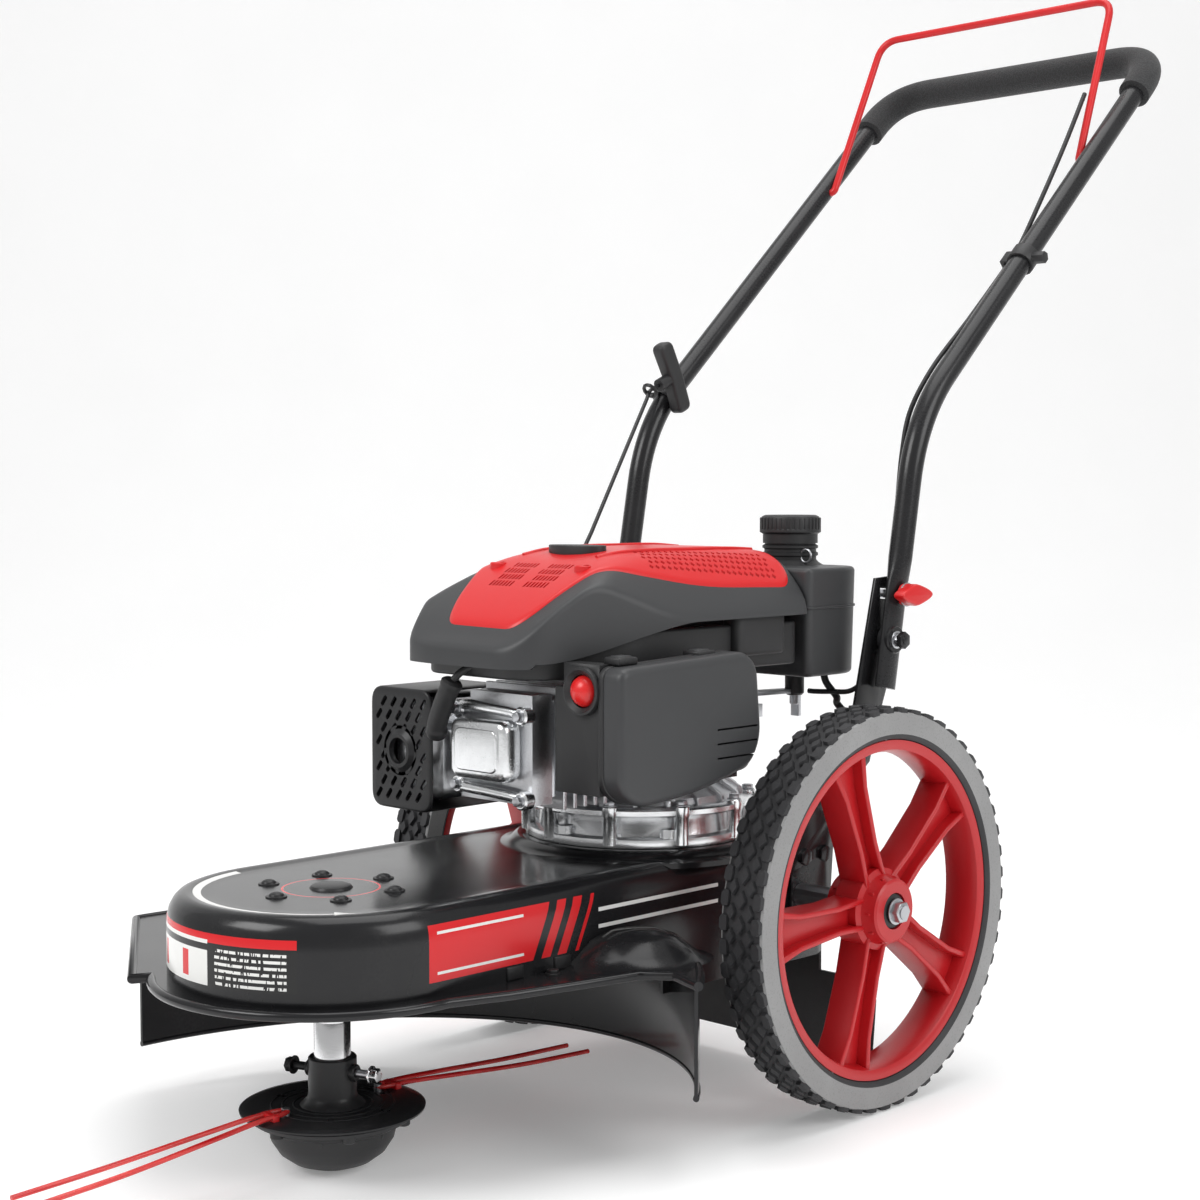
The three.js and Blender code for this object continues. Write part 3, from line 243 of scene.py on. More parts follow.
# die-cast alloy: bright, finely pitted, darker where dirt stays
def castAlloy(name, colour=shade(0.72, 0.73, 0.75), roughness=0.34, rough=0.35):
    made = Surface(name, Metallic=1.0)
    patches = made.noise(24, 6)
    pits = made.noise(900, 4)
    stain = patches.ramp(0.5, 0.85)
    base = made.mix(stain * 0.45, colour, shade(0.30, 0.30, 0.31))
    base = made.mix(pits.ramp(0.25, 0.42, 0.35, 0.0), base, shade(0.2, 0.2, 0.2))
    made.give("Base Color", base)
    made.give("Roughness", patches * 0.16 + pits * 0.12 + (roughness - 0.14))
    made.bump(pits + made.noise(220, 3) * 0.7, rough, 0.0006)
    return made.material


# turned or plated metal with fine lines across the axis
def metal(name, colour, roughness=0.25, lines=(1, 1, 60)):
    made = Surface(name, Metallic=1.0)
    brushed = made.noise(60, 3, stretch=lines)
    patches = made.noise(18, 4)
    base = made.mix(patches.ramp(0.4, 0.8) * 0.3, colour, shade(*(c * 0.6 for c in colour[:3])))
    made.give("Base Color", base)
    made.give("Roughness", brushed * 0.16 + patches * 0.1 + (roughness - 0.1))
    made.bump(brushed, 0.08, 0.0003)
    return made.material


# black rubber with a chalky bloom and fine pores
def rubber(name, colour=shade(0.022, 0.022, 0.024), roughness=0.62, bloom=0.5):
    made = Surface(name)
    patches = made.noise(16, 5)
    pores = made.noise(700, 3)
    base = made.mix(patches.ramp(0.4, 0.8) * bloom, colour, shade(*(c * 2.0 + 0.02 for c in colour[:3])))
    base = made.mix(pores.ramp(0.3, 0.45, 0.3, 0.0), base, shade(*(c * 0.4 for c in colour[:3])))
    made.give("Base Color", base)
    made.give("Roughness", patches * 0.12 + pores * 0.1 + (roughness - 0.1))
    made.bump(pores + patches * 0.4, 0.25, 0.0006)
    return made.material


# closed-cell foam: small cells with paler skin between
def foamSkin(name):
    made = Surface(name, Sheen_Weight=0.15, Sheen_Roughness=0.5)
    cells = made.cells(700)
    patches = made.noise(20, 4)
    base = made.mix(cells.ramp(0.1, 0.7) * 0.8, shade(0.022, 0.023, 0.024), shade(0.008, 0.008, 0.009))
    made.give("Base Color", base)
    made.give("Roughness", patches * 0.1 + 0.8)
    made.bump(cells.ramp(0.0, 0.6, 1.0, 0.0) + patches * 0.6, 0.6, 0.0007)
    return made.material


# drawn nylon, see-through red with fine lengthwise streaks
def nylon(name):
    made = Surface(name, Transmission_Weight=0.35, IOR=1.5)
    streaks = made.noise(300, 3, stretch=(1, 0.02, 1))
    base = made.mix(streaks.ramp(0.35, 0.7), shade(0.62, 0.012, 0.015), shade(0.95, 0.10, 0.09))
    made.give("Base Color", base)
    made.give("Roughness", streaks * 0.15 + 0.16)
    made.bump(streaks, 0.15, 0.0003)
    return made.material


# labels on the deck: a white turning arrow and a red ring on top, panels on the walls
deckLabels = {
    "white": shade(0.75, 0.75, 0.73), "red": shade(0.62, 0.016, 0.02),
    "black": shade(0.012, 0.012, 0.012), "edge": 0.2255,
    "arrow": {"radius": 106 * mm, "half": 3.2 * mm, "start": -3.0, "end": -0.62, "tip": -0.48,
              "flare": 0.058},
    "ring": {"radius": 39 * mm, "half": 0.9 * mm},
    "panel": {"x": 126, "y": -440, "low": 172, "high": 216, "long": 108, "slant": 0.45,
              "bars": ((122, 5), (140, 5), (157, 2)), "lines": (178.5, 209.5), "lineSpan": (8, 98),
              "stripes": (188, 202), "stripeSpan": (182, 330)},
    "nose": {"radius": 126 * mm, "low": 172, "high": 212, "left": -2.30, "middle": -1.46, "right": -0.86,
             "figures": (-2.02, -1.68), "textPitch": 5}}


def topLabels(made, base, reach, angle):
    arrow, ring = deckLabels["arrow"], deckLabels["ring"]
    onTop = made.z > deckLabels["edge"]
    sector = (angle > arrow["start"]) & (angle < arrow["end"])
    arc = reach.near(arrow["radius"], arrow["half"]) & sector & onTop
    tip = (angle > arrow["end"] - 0.02) & (angle < arrow["tip"])
    width = (angle * -1.0 + arrow["tip"]) * arrow["flare"]
    point = (reach - arrow["radius"]).math("ABSOLUTE") < width
    base = made.mix(arc | (point & tip & onTop), base, deckLabels["white"])
    return made.mix(reach.near(ring["radius"], ring["half"]) & onTop, base, deckLabels["red"])


# wall panel on the intake side: red block, slanted bars and white stripes
def sideLabels(made, base, onWall):
    panel = deckLabels["panel"]
    side = made.x > at(panel["x"], 0, 0).x
    along = (made.y - at(0, panel["y"], 0).y) / mm
    high = made.z / mm
    tall = (high > panel["low"]) & (high < panel["high"])
    slant = along - (high - panel["low"]) * panel["slant"]
    red = side & (along > 0) & (slant < panel["long"]) & tall
    for middle, half in panel["bars"]:
        red = red | (side & tall & slant.near(middle, half))
    base = made.mix(red & onWall, base, deckLabels["red"])
    white = ((panel["lines"], 1.1, panel["lineSpan"]), (panel["stripes"], 1.6, panel["stripeSpan"]))
    for rows, half, (start, end) in white:
        span = (along > start) & (along < end)
        lines = side & (high.near(rows[0], half) | high.near(rows[1], half)) & span
        base = made.mix(lines & onWall, base, deckLabels["white"])
    return base


# wall panel round the nose: a pictogram half and a text half
def noseLabels(made, base, onWall, y, reach, angle):
    nose = deckLabels["nose"]
    high = made.z / mm
    tall = (high > nose["low"]) & (high < nose["high"])
    front = onWall & (y < 0.0) & (reach > nose["radius"]) & tall
    left = front & (angle > nose["left"]) & (angle < nose["middle"])
    right = front & (angle > nose["middle"]) & (angle < nose["right"])
    base = made.mix(left, base, deckLabels["white"])
    base = made.mix(left & (high > nose["high"] - 5), base, deckLabels["red"])
    band = left & (high > nose["high"] - 13) & (high < nose["high"] - 8)
    base = made.mix(band, base, deckLabels["black"])
    for place in nose["figures"]:
        figure = angle.near(place, 0.035) & (high > nose["low"] + 4) & (high < nose["high"] - 16)
        base = made.mix(left & figure, base, deckLabels["red"])
    base = made.mix(right, base, deckLabels["black"])
    base = made.mix(right & (high > nose["high"] - 7), base, deckLabels["red"])
    rows = ((high - (nose["low"] + 2)) / nose["textPitch"]).math("FRACT") < 0.45
    letters = made.noise(420, 1, stretch=(1, 1, 0.2)) > 0.44
    text = right & (high < nose["high"] - 10) & rows & letters
    text = text & (angle > nose["middle"] + 0.06) & (angle < nose["right"] - 0.06)
    return made.mix(text, base, deckLabels["white"])


def labelledDeck(made, base):
    head = at(0, headY, 0)
    x = made.x - head.x
    y = made.y - head.y
    reach = (x ** 2 + y ** 2) ** 0.5
    angle = y.math("ARCTAN2", x)
    onWall = made.z < deckLabels["edge"]
    base = topLabels(made, base, reach, angle)
    base = sideLabels(made, base, onWall)
    return noseLabels(made, base, onWall, y, reach, angle)


look = {
    "deck": paint("deck gloss black", shade(0.009, 0.009, 0.010), 0.20, 0.10, labelledDeck),
    "black": paint("gloss black", shade(0.010, 0.010, 0.011), 0.24),
    "tube": paint("tube black", shade(0.012, 0.012, 0.013), 0.27, 0.18),
    "satinBlack": paint("satin black", shade(0.014, 0.014, 0.015), 0.42, 0.25),
    "redWire": paint("red coat", shade(0.50, 0.012, 0.014), 0.30, 0.15),
    "grey": plastic("grey plastic", shade(0.033, 0.034, 0.036), 0.44),
    "darkPlastic": plastic("black plastic", shade(0.014, 0.014, 0.015), 0.46),
    "red": plastic("red plastic", shade(0.60, 0.008, 0.010), 0.34, 0.10, 0.05),
    "rim": plastic("red rim", shade(0.46, 0.008, 0.012), 0.34, 0.14, 0.10),
    "primer": plastic("red primer", shade(0.66, 0.015, 0.015), 0.28, 0.06, 0.05),
    "cast": castAlloy("cast alloy"),
    "castSmooth": castAlloy("cast alloy smooth", shade(0.80, 0.81, 0.82), 0.24, 0.16),
    "castDark": castAlloy("cast alloy dark", shade(0.16, 0.16, 0.17), 0.5, 0.4),
    "chrome": metal("chrome", shade(0.80, 0.80, 0.81), 0.14),
    "zinc": metal("zinc plate", shade(0.50, 0.51, 0.53), 0.30),
    "tread": rubber("tread rubber"),
    "sideBand": rubber("tyre side band", shade(0.25, 0.25, 0.25), 0.55, 0.18),
    "rubber": rubber("flap rubber", shade(0.016, 0.016, 0.017), 0.55),
    "foam": foamSkin("grip foam"),
    "nylon": nylon("red line"),
    "paper": rubber("filter paper", shade(0.62, 0.58, 0.46), 0.9, 0.2),
}
print("materials made")


def newPiece(name, mesh, *materials, smooth=35):
    for material in materials:
        mesh.materials.append(look[material])
    for face in mesh.polygons:
        face.use_smooth = True
    mesh.set_sharp_from_angle(angle=math.radians(smooth))
    piece = bpy.data.objects.new(name, mesh)
    bpy.context.scene.collection.objects.link(piece)
    return piece


def fromFaces(name, points, faces, *materials, smooth=35, groups=None):
    mesh = bpy.data.meshes.new(name)
    mesh.from_pydata([tuple(p) for p in points], [], faces)
    for index, group in enumerate(groups or []):
        mesh.polygons[index].material_index = group
    form = bmesh.new()
    form.from_mesh(mesh)
    bmesh.ops.remove_doubles(form, verts=form.verts, dist=1e-6)
    bmesh.ops.recalc_face_normals(form, faces=form.faces)
    form.to_mesh(mesh)
    form.free()
    return newPiece(name, mesh, *materials, smooth=smooth)


# turns (across, along, up) of a plan into the frame for a prism or lathe about x, y or z
def swung(axis, a, b, along):
    return {"x": (along, a, b), "y": (a, along, b), "z": (a, b, along)}[axis]


# a closed profile of (radius, along) turned about an axis through a centre
def lathe(name, profile, centre, axis, material, sides=64, smooth=35, bands=None):
    points, faces, groups = [], [], []
    count = len(profile)
    for step in range(sides):
        angle = 2 * math.pi * step / sides
        for radius, along in profile:
            offset = swung(axis, radius * math.cos(angle), radius * math.sin(angle), along)
            points.append(at(*(c + o for c, o in zip(centre, offset))))
    for step in range(sides):
        ahead = (step + 1) % sides
        for k in range(count):
            n = (k + 1) % count
            faces.append((step * count + k, step * count + n, ahead * count + n, ahead * count + k))
            groups.append((bands or {}).get(k, 0))
    materials = material if isinstance(material, (list, tuple)) else [material]
    return fromFaces(name, points, faces, *materials, smooth=smooth, groups=groups)


# an outline raised along an axis, its edges rounded by a bevel
def prism(name, outline, axis, low, high, material, bevel=0.0, segments=3, smooth=35, top=None):
    count = len(outline)
    points = [at(*swung(axis, a, b, low)) for a, b in outline]
    points += [at(*swung(axis, a, b, high)) for a, b in (top or outline)]
    faces = [tuple(range(count))[::-1], tuple(range(count, 2 * count))]
    faces += [(k, (k + 1) % count, count + (k + 1) % count, count + k) for k in range(count)]
    piece = fromFaces(name, points, faces, material, smooth=smooth)
    return rounded(piece, bevel, segments)


def rounded(piece, bevel, segments=3, angle=40):
    if bevel:
        edge = piece.modifiers.new("edges", "BEVEL")
        edge.width = bevel * mm
        edge.segments = segments
        edge.limit_method = "ANGLE"
        edge.angle_limit = math.radians(angle)
        settle(piece)
        piece.data.set_sharp_from_angle(angle=math.radians(50))
    return piece


def block(name, x0, x1, y0, y1, z0, z1, material, bevel=0.8, segments=2):
    return prism(name, [(x0, y0), (x1, y0), (x1, y1), (x0, y1)], "z", z0, z1, material, bevel, segments)


def rod(name, radius, axis, centre, length, material, sides=32, bevel=0.5):
    half = length / 2
    ends = [(0, -half), (radius - bevel, -half), (radius, -half + bevel), (radius, half - bevel),
            (radius - bevel, half), (0, half)]
    return lathe(name, ends, centre, axis, material, sides)


# corners of a plan rounded by arcs
def roundOff(corners, radius, steps=5):
    out = []
    for k, corner in enumerate(corners):
        here = Vector(corner)
        size = radius[k] if isinstance(radius, (list, tuple)) else radius
        back = Vector(corners[k - 1]) - here
        ahead = Vector(corners[(k + 1) % len(corners)]) - here
        reach = min(size, back.length * 0.49, ahead.length * 0.49)
        if reach < 0.05:
            out.append(tuple(here))
            continue
        start, end = here + back.normalized() * reach, here + ahead.normalized() * reach
        for step in range(steps + 1):
            t = step / steps
            out.append(tuple(start * (1 - t) ** 2 + here * 2 * t * (1 - t) + end * t ** 2))
    return out


def rectangle(x0, x1, y0, y1, radius, steps=5):
    return roundOff([(x0, y0), (x1, y0), (x1, y1), (x0, y1)], radius, steps)


# a path through corners, each rounded by its own reach
def bends(corners, radius, steps=8):
    points = [Vector(c) for c in corners]
    path = [points[0]]
    for k in range(1, len(points) - 1):
        back, ahead = points[k - 1] - points[k], points[k + 1] - points[k]
        wanted = radius[k - 1] if isinstance(radius, (list, tuple)) else radius
        room = back.length * (0.9 if k == 1 else 0.48), ahead.length * (0.9 if k == len(points) - 2
                else 0.48)
        reach = min(wanted, *room)
        start, end = points[k] + back.normalized() * reach, points[k] + ahead.normalized() * reach
        for step in range(steps + 1):
            t = step / steps
            path.append(start * (1 - t) ** 2 + points[k] * 2 * t * (1 - t) + end * t ** 2)
    path.append(points[-1])
    return path


# a smooth line through chosen points, with spacing that keeps it from overshooting
def smoothLine(points, steps=6):
    p = [Vector(q) for q in points]
    p = [p[0] * 2 - p[1]] + p + [p[-1] * 2 - p[-2]]
    out = []
    for k in range(1, len(p) - 2):
        t0 = 0.0
        t1 = t0 + (p[k] - p[k - 1]).length ** 0.5
        t2 = t1 + (p[k + 1] - p[k]).length ** 0.5
        t3 = t2 + (p[k + 2] - p[k + 1]).length ** 0.5
        for step in range(steps):
            t = t1 + (t2 - t1) * step / steps
            a1 = p[k - 1] * ((t1 - t) / (t1 - t0)) + p[k] * ((t - t0) / (t1 - t0))
            a2 = p[k] * ((t2 - t) / (t2 - t1)) + p[k + 1] * ((t - t1) / (t2 - t1))
            a3 = p[k + 1] * ((t3 - t) / (t3 - t2)) + p[k + 2] * ((t - t2) / (t3 - t2))
            b1 = a1 * ((t2 - t) / (t2 - t0)) + a2 * ((t - t0) / (t2 - t0))
            b2 = a2 * ((t3 - t) / (t3 - t1)) + a3 * ((t - t1) / (t3 - t1))
            out.append(b1 * ((t2 - t) / (t2 - t1)) + b2 * ((t - t1) / (t2 - t1)))
    out.append(p[-2])
    return out


# a round bar along a path; wide and thick may change along it
def sweep(name, path, radius, material, sides=20, size=None, smooth=40):
    points, faces = [], []
    lift = None
    for k, here in enumerate(path):
        along = (path[min(k + 1, len(path) - 1)] - path[max(k - 1, 0)]).normalized()
        if lift is None:
            lift = Vector((0, 0, 1)) if abs(along.z) < 0.9 else Vector((1, 0, 0))
        lift = (lift - along * lift.dot(along)).normalized()
        side = along.cross(lift)
        wide, thick = size(k / (len(path) - 1)) if size else (1, 1)
        for step in range(sides):
            a = 2 * math.pi * step / sides
            across, up = radius * wide * math.cos(a), radius * thick * math.sin(a)
            points.append(at(*(here + side * across + lift * up)))
    for k in range(len(path) - 1):
        for step in range(sides):
            n = (step + 1) % sides
            faces.append((k * sides + step, k * sides + n, (k + 1) * sides + n, (k + 1) * sides + step))
    faces.append(tuple(range(sides))[::-1])
    faces.append(tuple(range((len(path) - 1) * sides, len(path) * sides)))
    return fromFaces(name, points, faces, material, smooth=smooth)


# a bar that narrows only at its two ends
def endsNarrowed(wide, thick):
    return lambda t: (wide, thick) if t in (0, 1) else (1, 1)


# modifiers become plain mesh
def settle(piece):
    if piece.modifiers:
        shown = piece.evaluated_get(bpy.context.evaluated_depsgraph_get())
        mesh = bpy.data.meshes.new_from_object(shown)
        old = piece.data
        piece.modifiers.clear()
        piece.data = mesh
        bpy.data.meshes.remove(old)
    return piece


def joined(name, pieces):
    base = pieces[0]
    if len(pieces) > 1:
        with bpy.context.temp_override(active_object=base, object=base, selected_editable_objects=pieces):
            bpy.ops.object.join()
    base.name = name
    return base


def carve(piece, *cutters):
    for cutter in cutters:
        cut = piece.modifiers.new("cut", "BOOLEAN")
        cut.operation = "DIFFERENCE"
        cut.solver = "MANIFOLD"
        cut.object = cutter
    settle(piece)
    for cutter in cutters:
        bpy.data.objects.remove(cutter)
    piece.data.set_sharp_from_angle(angle=math.radians(40))
    return piece


def place(piece, body, *replaced, slot=None):
    settle(piece)
    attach(piece, body)
    if replaced:
        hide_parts(*replaced)
    return piece


def link(tree, source, target):
    tree.links.new(source, target)


class Graph:
    # a geometry node tree with named inputs
    def __init__(self, name, inputs):
        self.tree = bpy.data.node_groups.new(name, "GeometryNodeTree")
        self.tree.interface.new_socket("Geometry", in_out="OUTPUT", socket_type="NodeSocketGeometry")
        self.keys = {}
        for key, kind in inputs.items():
            self.keys[key] = self.tree.interface.new_socket(key, in_out="INPUT",
                                                            socket_type=kind).identifier
        self.entry = self.node("NodeGroupInput")
        self.exit = self.node("NodeGroupOutput")

    def node(self, kind, settings=None, **inputs):
        node = self.tree.nodes.new(kind)
        for key, value in (settings or {}).items():
            setattr(node, key, value)
        for key, value in inputs.items():
            socket = node.inputs[int(key[1:])] if key[0] == "_" else node.inputs[key.replace("_", " ")]
            if isinstance(value, bpy.types.NodeSocket):
                link(self.tree, value, socket)
            else:
                socket.default_value = value
        return node

    def calc(self, operation, a, b=0.0):
        return self.node("ShaderNodeMath", {"operation": operation}, _0=a, _1=b).outputs[0]

    def given(self, key):
        return self.entry.outputs[key]

    def close(self, points, turn):
        shape = self.node("GeometryNodeObjectInfo", {"transform_space": "ORIGINAL"},
                          Object=self.given("Piece"))
        copies = self.node("GeometryNodeInstanceOnPoints", Points=points,
                           Instance=shape.outputs["Geometry"])
        if turn is not None:
            link(self.tree, turn, copies.inputs["Rotation"])
        whole = self.node("GeometryNodeRealizeInstances", Geometry=copies.outputs[0])
        coated = self.node("GeometryNodeSetMaterial", Geometry=whole.outputs[0],
                           Material=self.given("Material"))
        link(self.tree, coated.outputs[0], self.exit.inputs[0])


# copies of a piece in a ring about z, its own x pointing outwards
def ringGraph():
    graph = Graph("ring of pieces", {
        "Piece": "NodeSocketObject", "Count": "NodeSocketInt", "Radius": "NodeSocketFloat",
        "Start": "NodeSocketFloat", "Material": "NodeSocketMaterial"})
    index = graph.node("GeometryNodeInputIndex").outputs[0]
    step = graph.calc("DIVIDE", 2 * math.pi, graph.given("Count"))
    angle = graph.calc("ADD", graph.calc("MULTIPLY", index, step), graph.given("Start"))
    x = graph.calc("MULTIPLY", graph.calc("COSINE", angle), graph.given("Radius"))
    y = graph.calc("MULTIPLY", graph.calc("SINE", angle), graph.given("Radius"))
    spot = graph.node("ShaderNodeCombineXYZ", X=x, Y=y).outputs[0]
    points = graph.node("GeometryNodePoints", Count=graph.given("Count"), Position=spot).outputs[0]
    turn = graph.node("ShaderNodeCombineXYZ", Z=angle).outputs[0]
    graph.close(points, turn)
    return graph


# copies of a piece on a staggered grid in the x-y plane
def gridGraph():
    graph = Graph("grid of pieces", {
        "Piece": "NodeSocketObject", "Columns": "NodeSocketInt", "Rows": "NodeSocketInt",
        "Pitch X": "NodeSocketFloat", "Pitch Y": "NodeSocketFloat", "Stagger": "NodeSocketFloat",
        "Material": "NodeSocketMaterial"})
    index = graph.node("GeometryNodeInputIndex").outputs[0]
    row = graph.calc("FLOOR", graph.calc("DIVIDE", index, graph.given("Columns")))
    column = graph.calc("MODULO", index, graph.given("Columns"))
    shift = graph.calc("MULTIPLY", graph.calc("MODULO", row, 2.0), graph.given("Stagger"))
    middleX = graph.calc("DIVIDE", graph.calc("SUBTRACT", graph.given("Columns"), 1.0), 2.0)
    middleY = graph.calc("DIVIDE", graph.calc("SUBTRACT", graph.given("Rows"), 1.0), 2.0)
    across = graph.calc("ADD", graph.calc("SUBTRACT", column, middleX), shift)
    x = graph.calc("MULTIPLY", across, graph.given("Pitch X"))
    y = graph.calc("MULTIPLY", graph.calc("SUBTRACT", row, middleY), graph.given("Pitch Y"))
    spot = graph.node("ShaderNodeCombineXYZ", X=x, Y=y).outputs[0]
    many = graph.calc("MULTIPLY", graph.given("Columns"), graph.given("Rows"))
    points = graph.node("GeometryNodePoints", Count=many, Position=spot).outputs[0]
    graph.close(points, None)
    return graph


ringOf = ringGraph()
gridOf = gridGraph()


# runs a graph, then moves the copies into the machine; the single piece is removed
def repeated(name, graph, single, material, where, **inputs):
    mesh = bpy.data.meshes.new(name)
    piece = bpy.data.objects.new(name, mesh)
    bpy.context.scene.collection.objects.link(piece)
    nodes = piece.modifiers.new("repeat", "NODES")
    nodes.node_group = graph.tree
    values = {"Piece": single, "Material": look[material], **inputs}
    for key, value in values.items():
        nodes[graph.keys[key.replace("_", " ")]] = value
    settle(piece)
    bpy.data.objects.remove(single)
    piece.data.transform(where)
    piece.data.set_sharp_from_angle(angle=math.radians(40))
    return piece


# a single piece for a graph is made about the origin, not in the machine
def atOrigin(piece):
    piece.data.transform(Matrix.Translation(-at(0, 0, 0)))
    return piece


def moved(x, y, z, turn=None):
    shift = Matrix.Translation(at(x, y, z))
    return shift @ turn if turn else shift


# turns for copies made about z that belong about x, or on a front face
aboutX = Matrix.Rotation(math.radians(90), 4, "Y")
facingFront = Matrix.Rotation(math.radians(90), 4, "X")


pullWay = Vector((0, 0.909, 0.416))
pullPlace = Vector((-150, 134, 661))
# the points of both cords are listed
brakeCable = {
    "radius": 2.4, "finish": "satinBlack", "start": (153, 96, 425), "end": (155, 128, 610),
    "corners": [(149, 438, 953), (153, 395, 896), (157, 345, 834), (158, 303, 781.2), (158, 279, 759.2),
                (158, 220, 708), (156.5, 160, 656), (155, 130, 616), (154.4, 120, 580), (154, 112, 520),
                (154, 102, 460), (153, 94, 410), (147, 84, 376), (134, 72, 359), (118, 62, 357.5),
                (103, 56.5, 357), (96, 56.5, 357)]}
starterRope = {
    "radius": 2.0, "finish": "tube", "start": (-70, -100, 450), "end": (-150, 101, 646),
    "corners": [(-14, -104, 432), (-44, -108, 434), (-66, -106, 443), (-91, -44, 504), (-121, 29, 575),
                (-146, 91, 636), (-150, 101, 646), tuple(pullPlace - pullWay * 22),
                tuple(pullPlace - pullWay * 12)]}


def makeCord(name, cord, node):
    route = smoothLine(cord["corners"])
    cordPiece = sweep(name, route, cord["radius"], cord["finish"], 12)
    world = [at(*p) for p in route]
    2 * cord["radius"] * mm
    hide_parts(node)
    tuple(at(*cord["start"]))
    tuple(at(*cord["end"]))
    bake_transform(cordPiece)


makeCord("brakeCable", brakeCable, "brake_cable")
makeCord("starterRope", starterRope, "starter_rope")
print("cords made")


wheel = {
    "outer": 178, "half": 22.5, "seat": 149.3, "x": 211, "lugs": 54, "lugDepth": 4.6, "shoulder": 17.6,
    "lugRows": [(0, 0, 5.2, 8.6), (9.4, 0.5, 4.2, 7.6), (-9.4, 0.5, 4.2, 7.6)],
    "spokes": 5, "spokeStart": 128, "hub": 36, "hubHalf": 27.5, "rimHalf": 19, "nutX": 239.8}


def tyreProfile():
    s, w = wheel["seat"], wheel["half"]
    right = [(s, 15), (s + 0.6, 19.5), (s + 2.6, 21.6), (s + 5, w - 0.2), (s + 8, w), (s + 20, w),
             (s + 23.4, w - 0.3), (s + 24.4, w - 2.4), (173.8, 15), (174, 8), (174.2, 0)]
    return right + [(r, -x) for r, x in right[-2::-1]]


def lug(half, long):
    outline = [(-long, 0), (-long * 0.15, -half), (long * 0.15, -half), (long, 0), (long * 0.15, half),
               (-long * 0.15, half)]
    inside = [(y * 0.82, z * 0.82) for y, z in outline]
    return atOrigin(prism("lug", outline, "x", -wheel["lugDepth"], 0, "tread", top=inside, smooth=20))


def shoulderBlock():
    outline = [(-7.2, -4.4), (6.4, -4.4), (7.4, 1.5), (4.6, 4.2), (-4.6, 4.2), (-8.0, 1.5)]
    inside = [(y * 0.88, z * 0.9) for y, z in outline]
    return atOrigin(prism("lug", outline, "x", -6, 0, "tread", top=inside, smooth=20))


def makeTyre(side, name, body, node):
    x = side * wheel["x"]
    profile = [(r, side * w) for r, w in tyreProfile()]
    grey = {k: 1 for k in (3, 4, 5, 6, 13, 14, 15, 16)}     # the two side bands
    parts = [lathe(name, profile, (x, 0, wheelZ), "x", ["tread", "sideBand"], 120, bands=grey)]
    step = 2 * math.pi / wheel["lugs"]
    for shift, phase, half, long in wheel["lugRows"]:
        turned = moved(x + shift, 0, wheelZ, aboutX)
        parts.append(repeated("row", ringOf, lug(half, long), "tread", turned, Count=wheel["lugs"],
                              Radius=(wheel["outer"] - 0.15) * mm, Start=phase * step))
    for hand in (1, -1):
        turned = moved(x + hand * wheel["shoulder"], 0, wheelZ, aboutX @ Matrix.Scale(hand, 4, (0, 0, 1)))
        edge = repeated("row", ringOf, shoulderBlock(), "tread", turned, Count=wheel["lugs"],
                        Radius=(wheel["outer"] - 1.2) * mm, Start=0.0)
        if hand < 0:
            edge.data.flip_normals()
        parts.append(edge)
    place(joined(name, parts), body, node, slot="tyre")


def rimBand():
    half = wheel["rimHalf"]
    return [(149, -half), (149, -half + 2), (146.5, -half + 3), (146.2, -11), (144, -8), (144, 8),
            (146.2, 11), (146.5, half - 3), (149, half - 2), (149, half), (143, half),
            (140.4, half - 1.6), (139, 14), (137.2, 6), (137.2, -6), (139, -14), (140.4, -half + 1.6),
            (143, -half)]


def spoke():
    web = [(24, -12), (60, -10.5), (110, -13.5), (141, -19), (141, 19), (110, 13.5), (60, 10.5), (24, 12)]
    parts = [prism("web", web, "z", -4, 4, "rim", 0.8)]
    for hand in (1, -1):
        rib = [(24, hand * 14.5), (60, hand * 12.8), (112, hand * 16), (141, hand * 23),
               (141, hand * 17), (112, hand * 11.2), (60, hand * 8.0), (24, hand * 9.6)]
        rib = rib if hand < 0 else rib[::-1]
        parts.append(prism("rib", rib, "z", -15, 15, "rim", 1.6, 3))
    return atOrigin(joined("spoke", parts))


def makeRim(side, name, body, node):
    x = side * wheel["x"]
    h, hub = wheel["hubHalf"], wheel["hub"]
    parts = [lathe(name, rimBand(), (x, 0, wheelZ), "x", "rim", 120)]
    boss = [(16, -h), (26, -h), (28, -h + 1.5), (29, -20), (31, -14), (hub, -12), (hub, 12), (31, 14),
            (29, 20), (28, h - 1.5), (26, h), (16, h), (15.8, h - 3), (15.8, -h + 3)]
    parts.append(lathe("hub", boss, (x, 0, wheelZ), "x", "rim", 72))
    turned = moved(x, 0, wheelZ, aboutX)
    parts.append(repeated("spokes", ringOf, spoke(), "rim", turned, Count=wheel["spokes"], Radius=0.0,
                          Start=math.radians(wheel["spokeStart"])))
    rib = prism("rib", [(14, -1.1), (30, -1.1), (30, 1.1), (14, 1.1)], "z", -22, 22, "rim", 0.4)
    parts.append(repeated("ribs", ringOf, atOrigin(rib), "rim", turned, Count=10, Radius=0.0, Start=0.3))
    place(joined(name, parts), body, node, slot="red_rim")


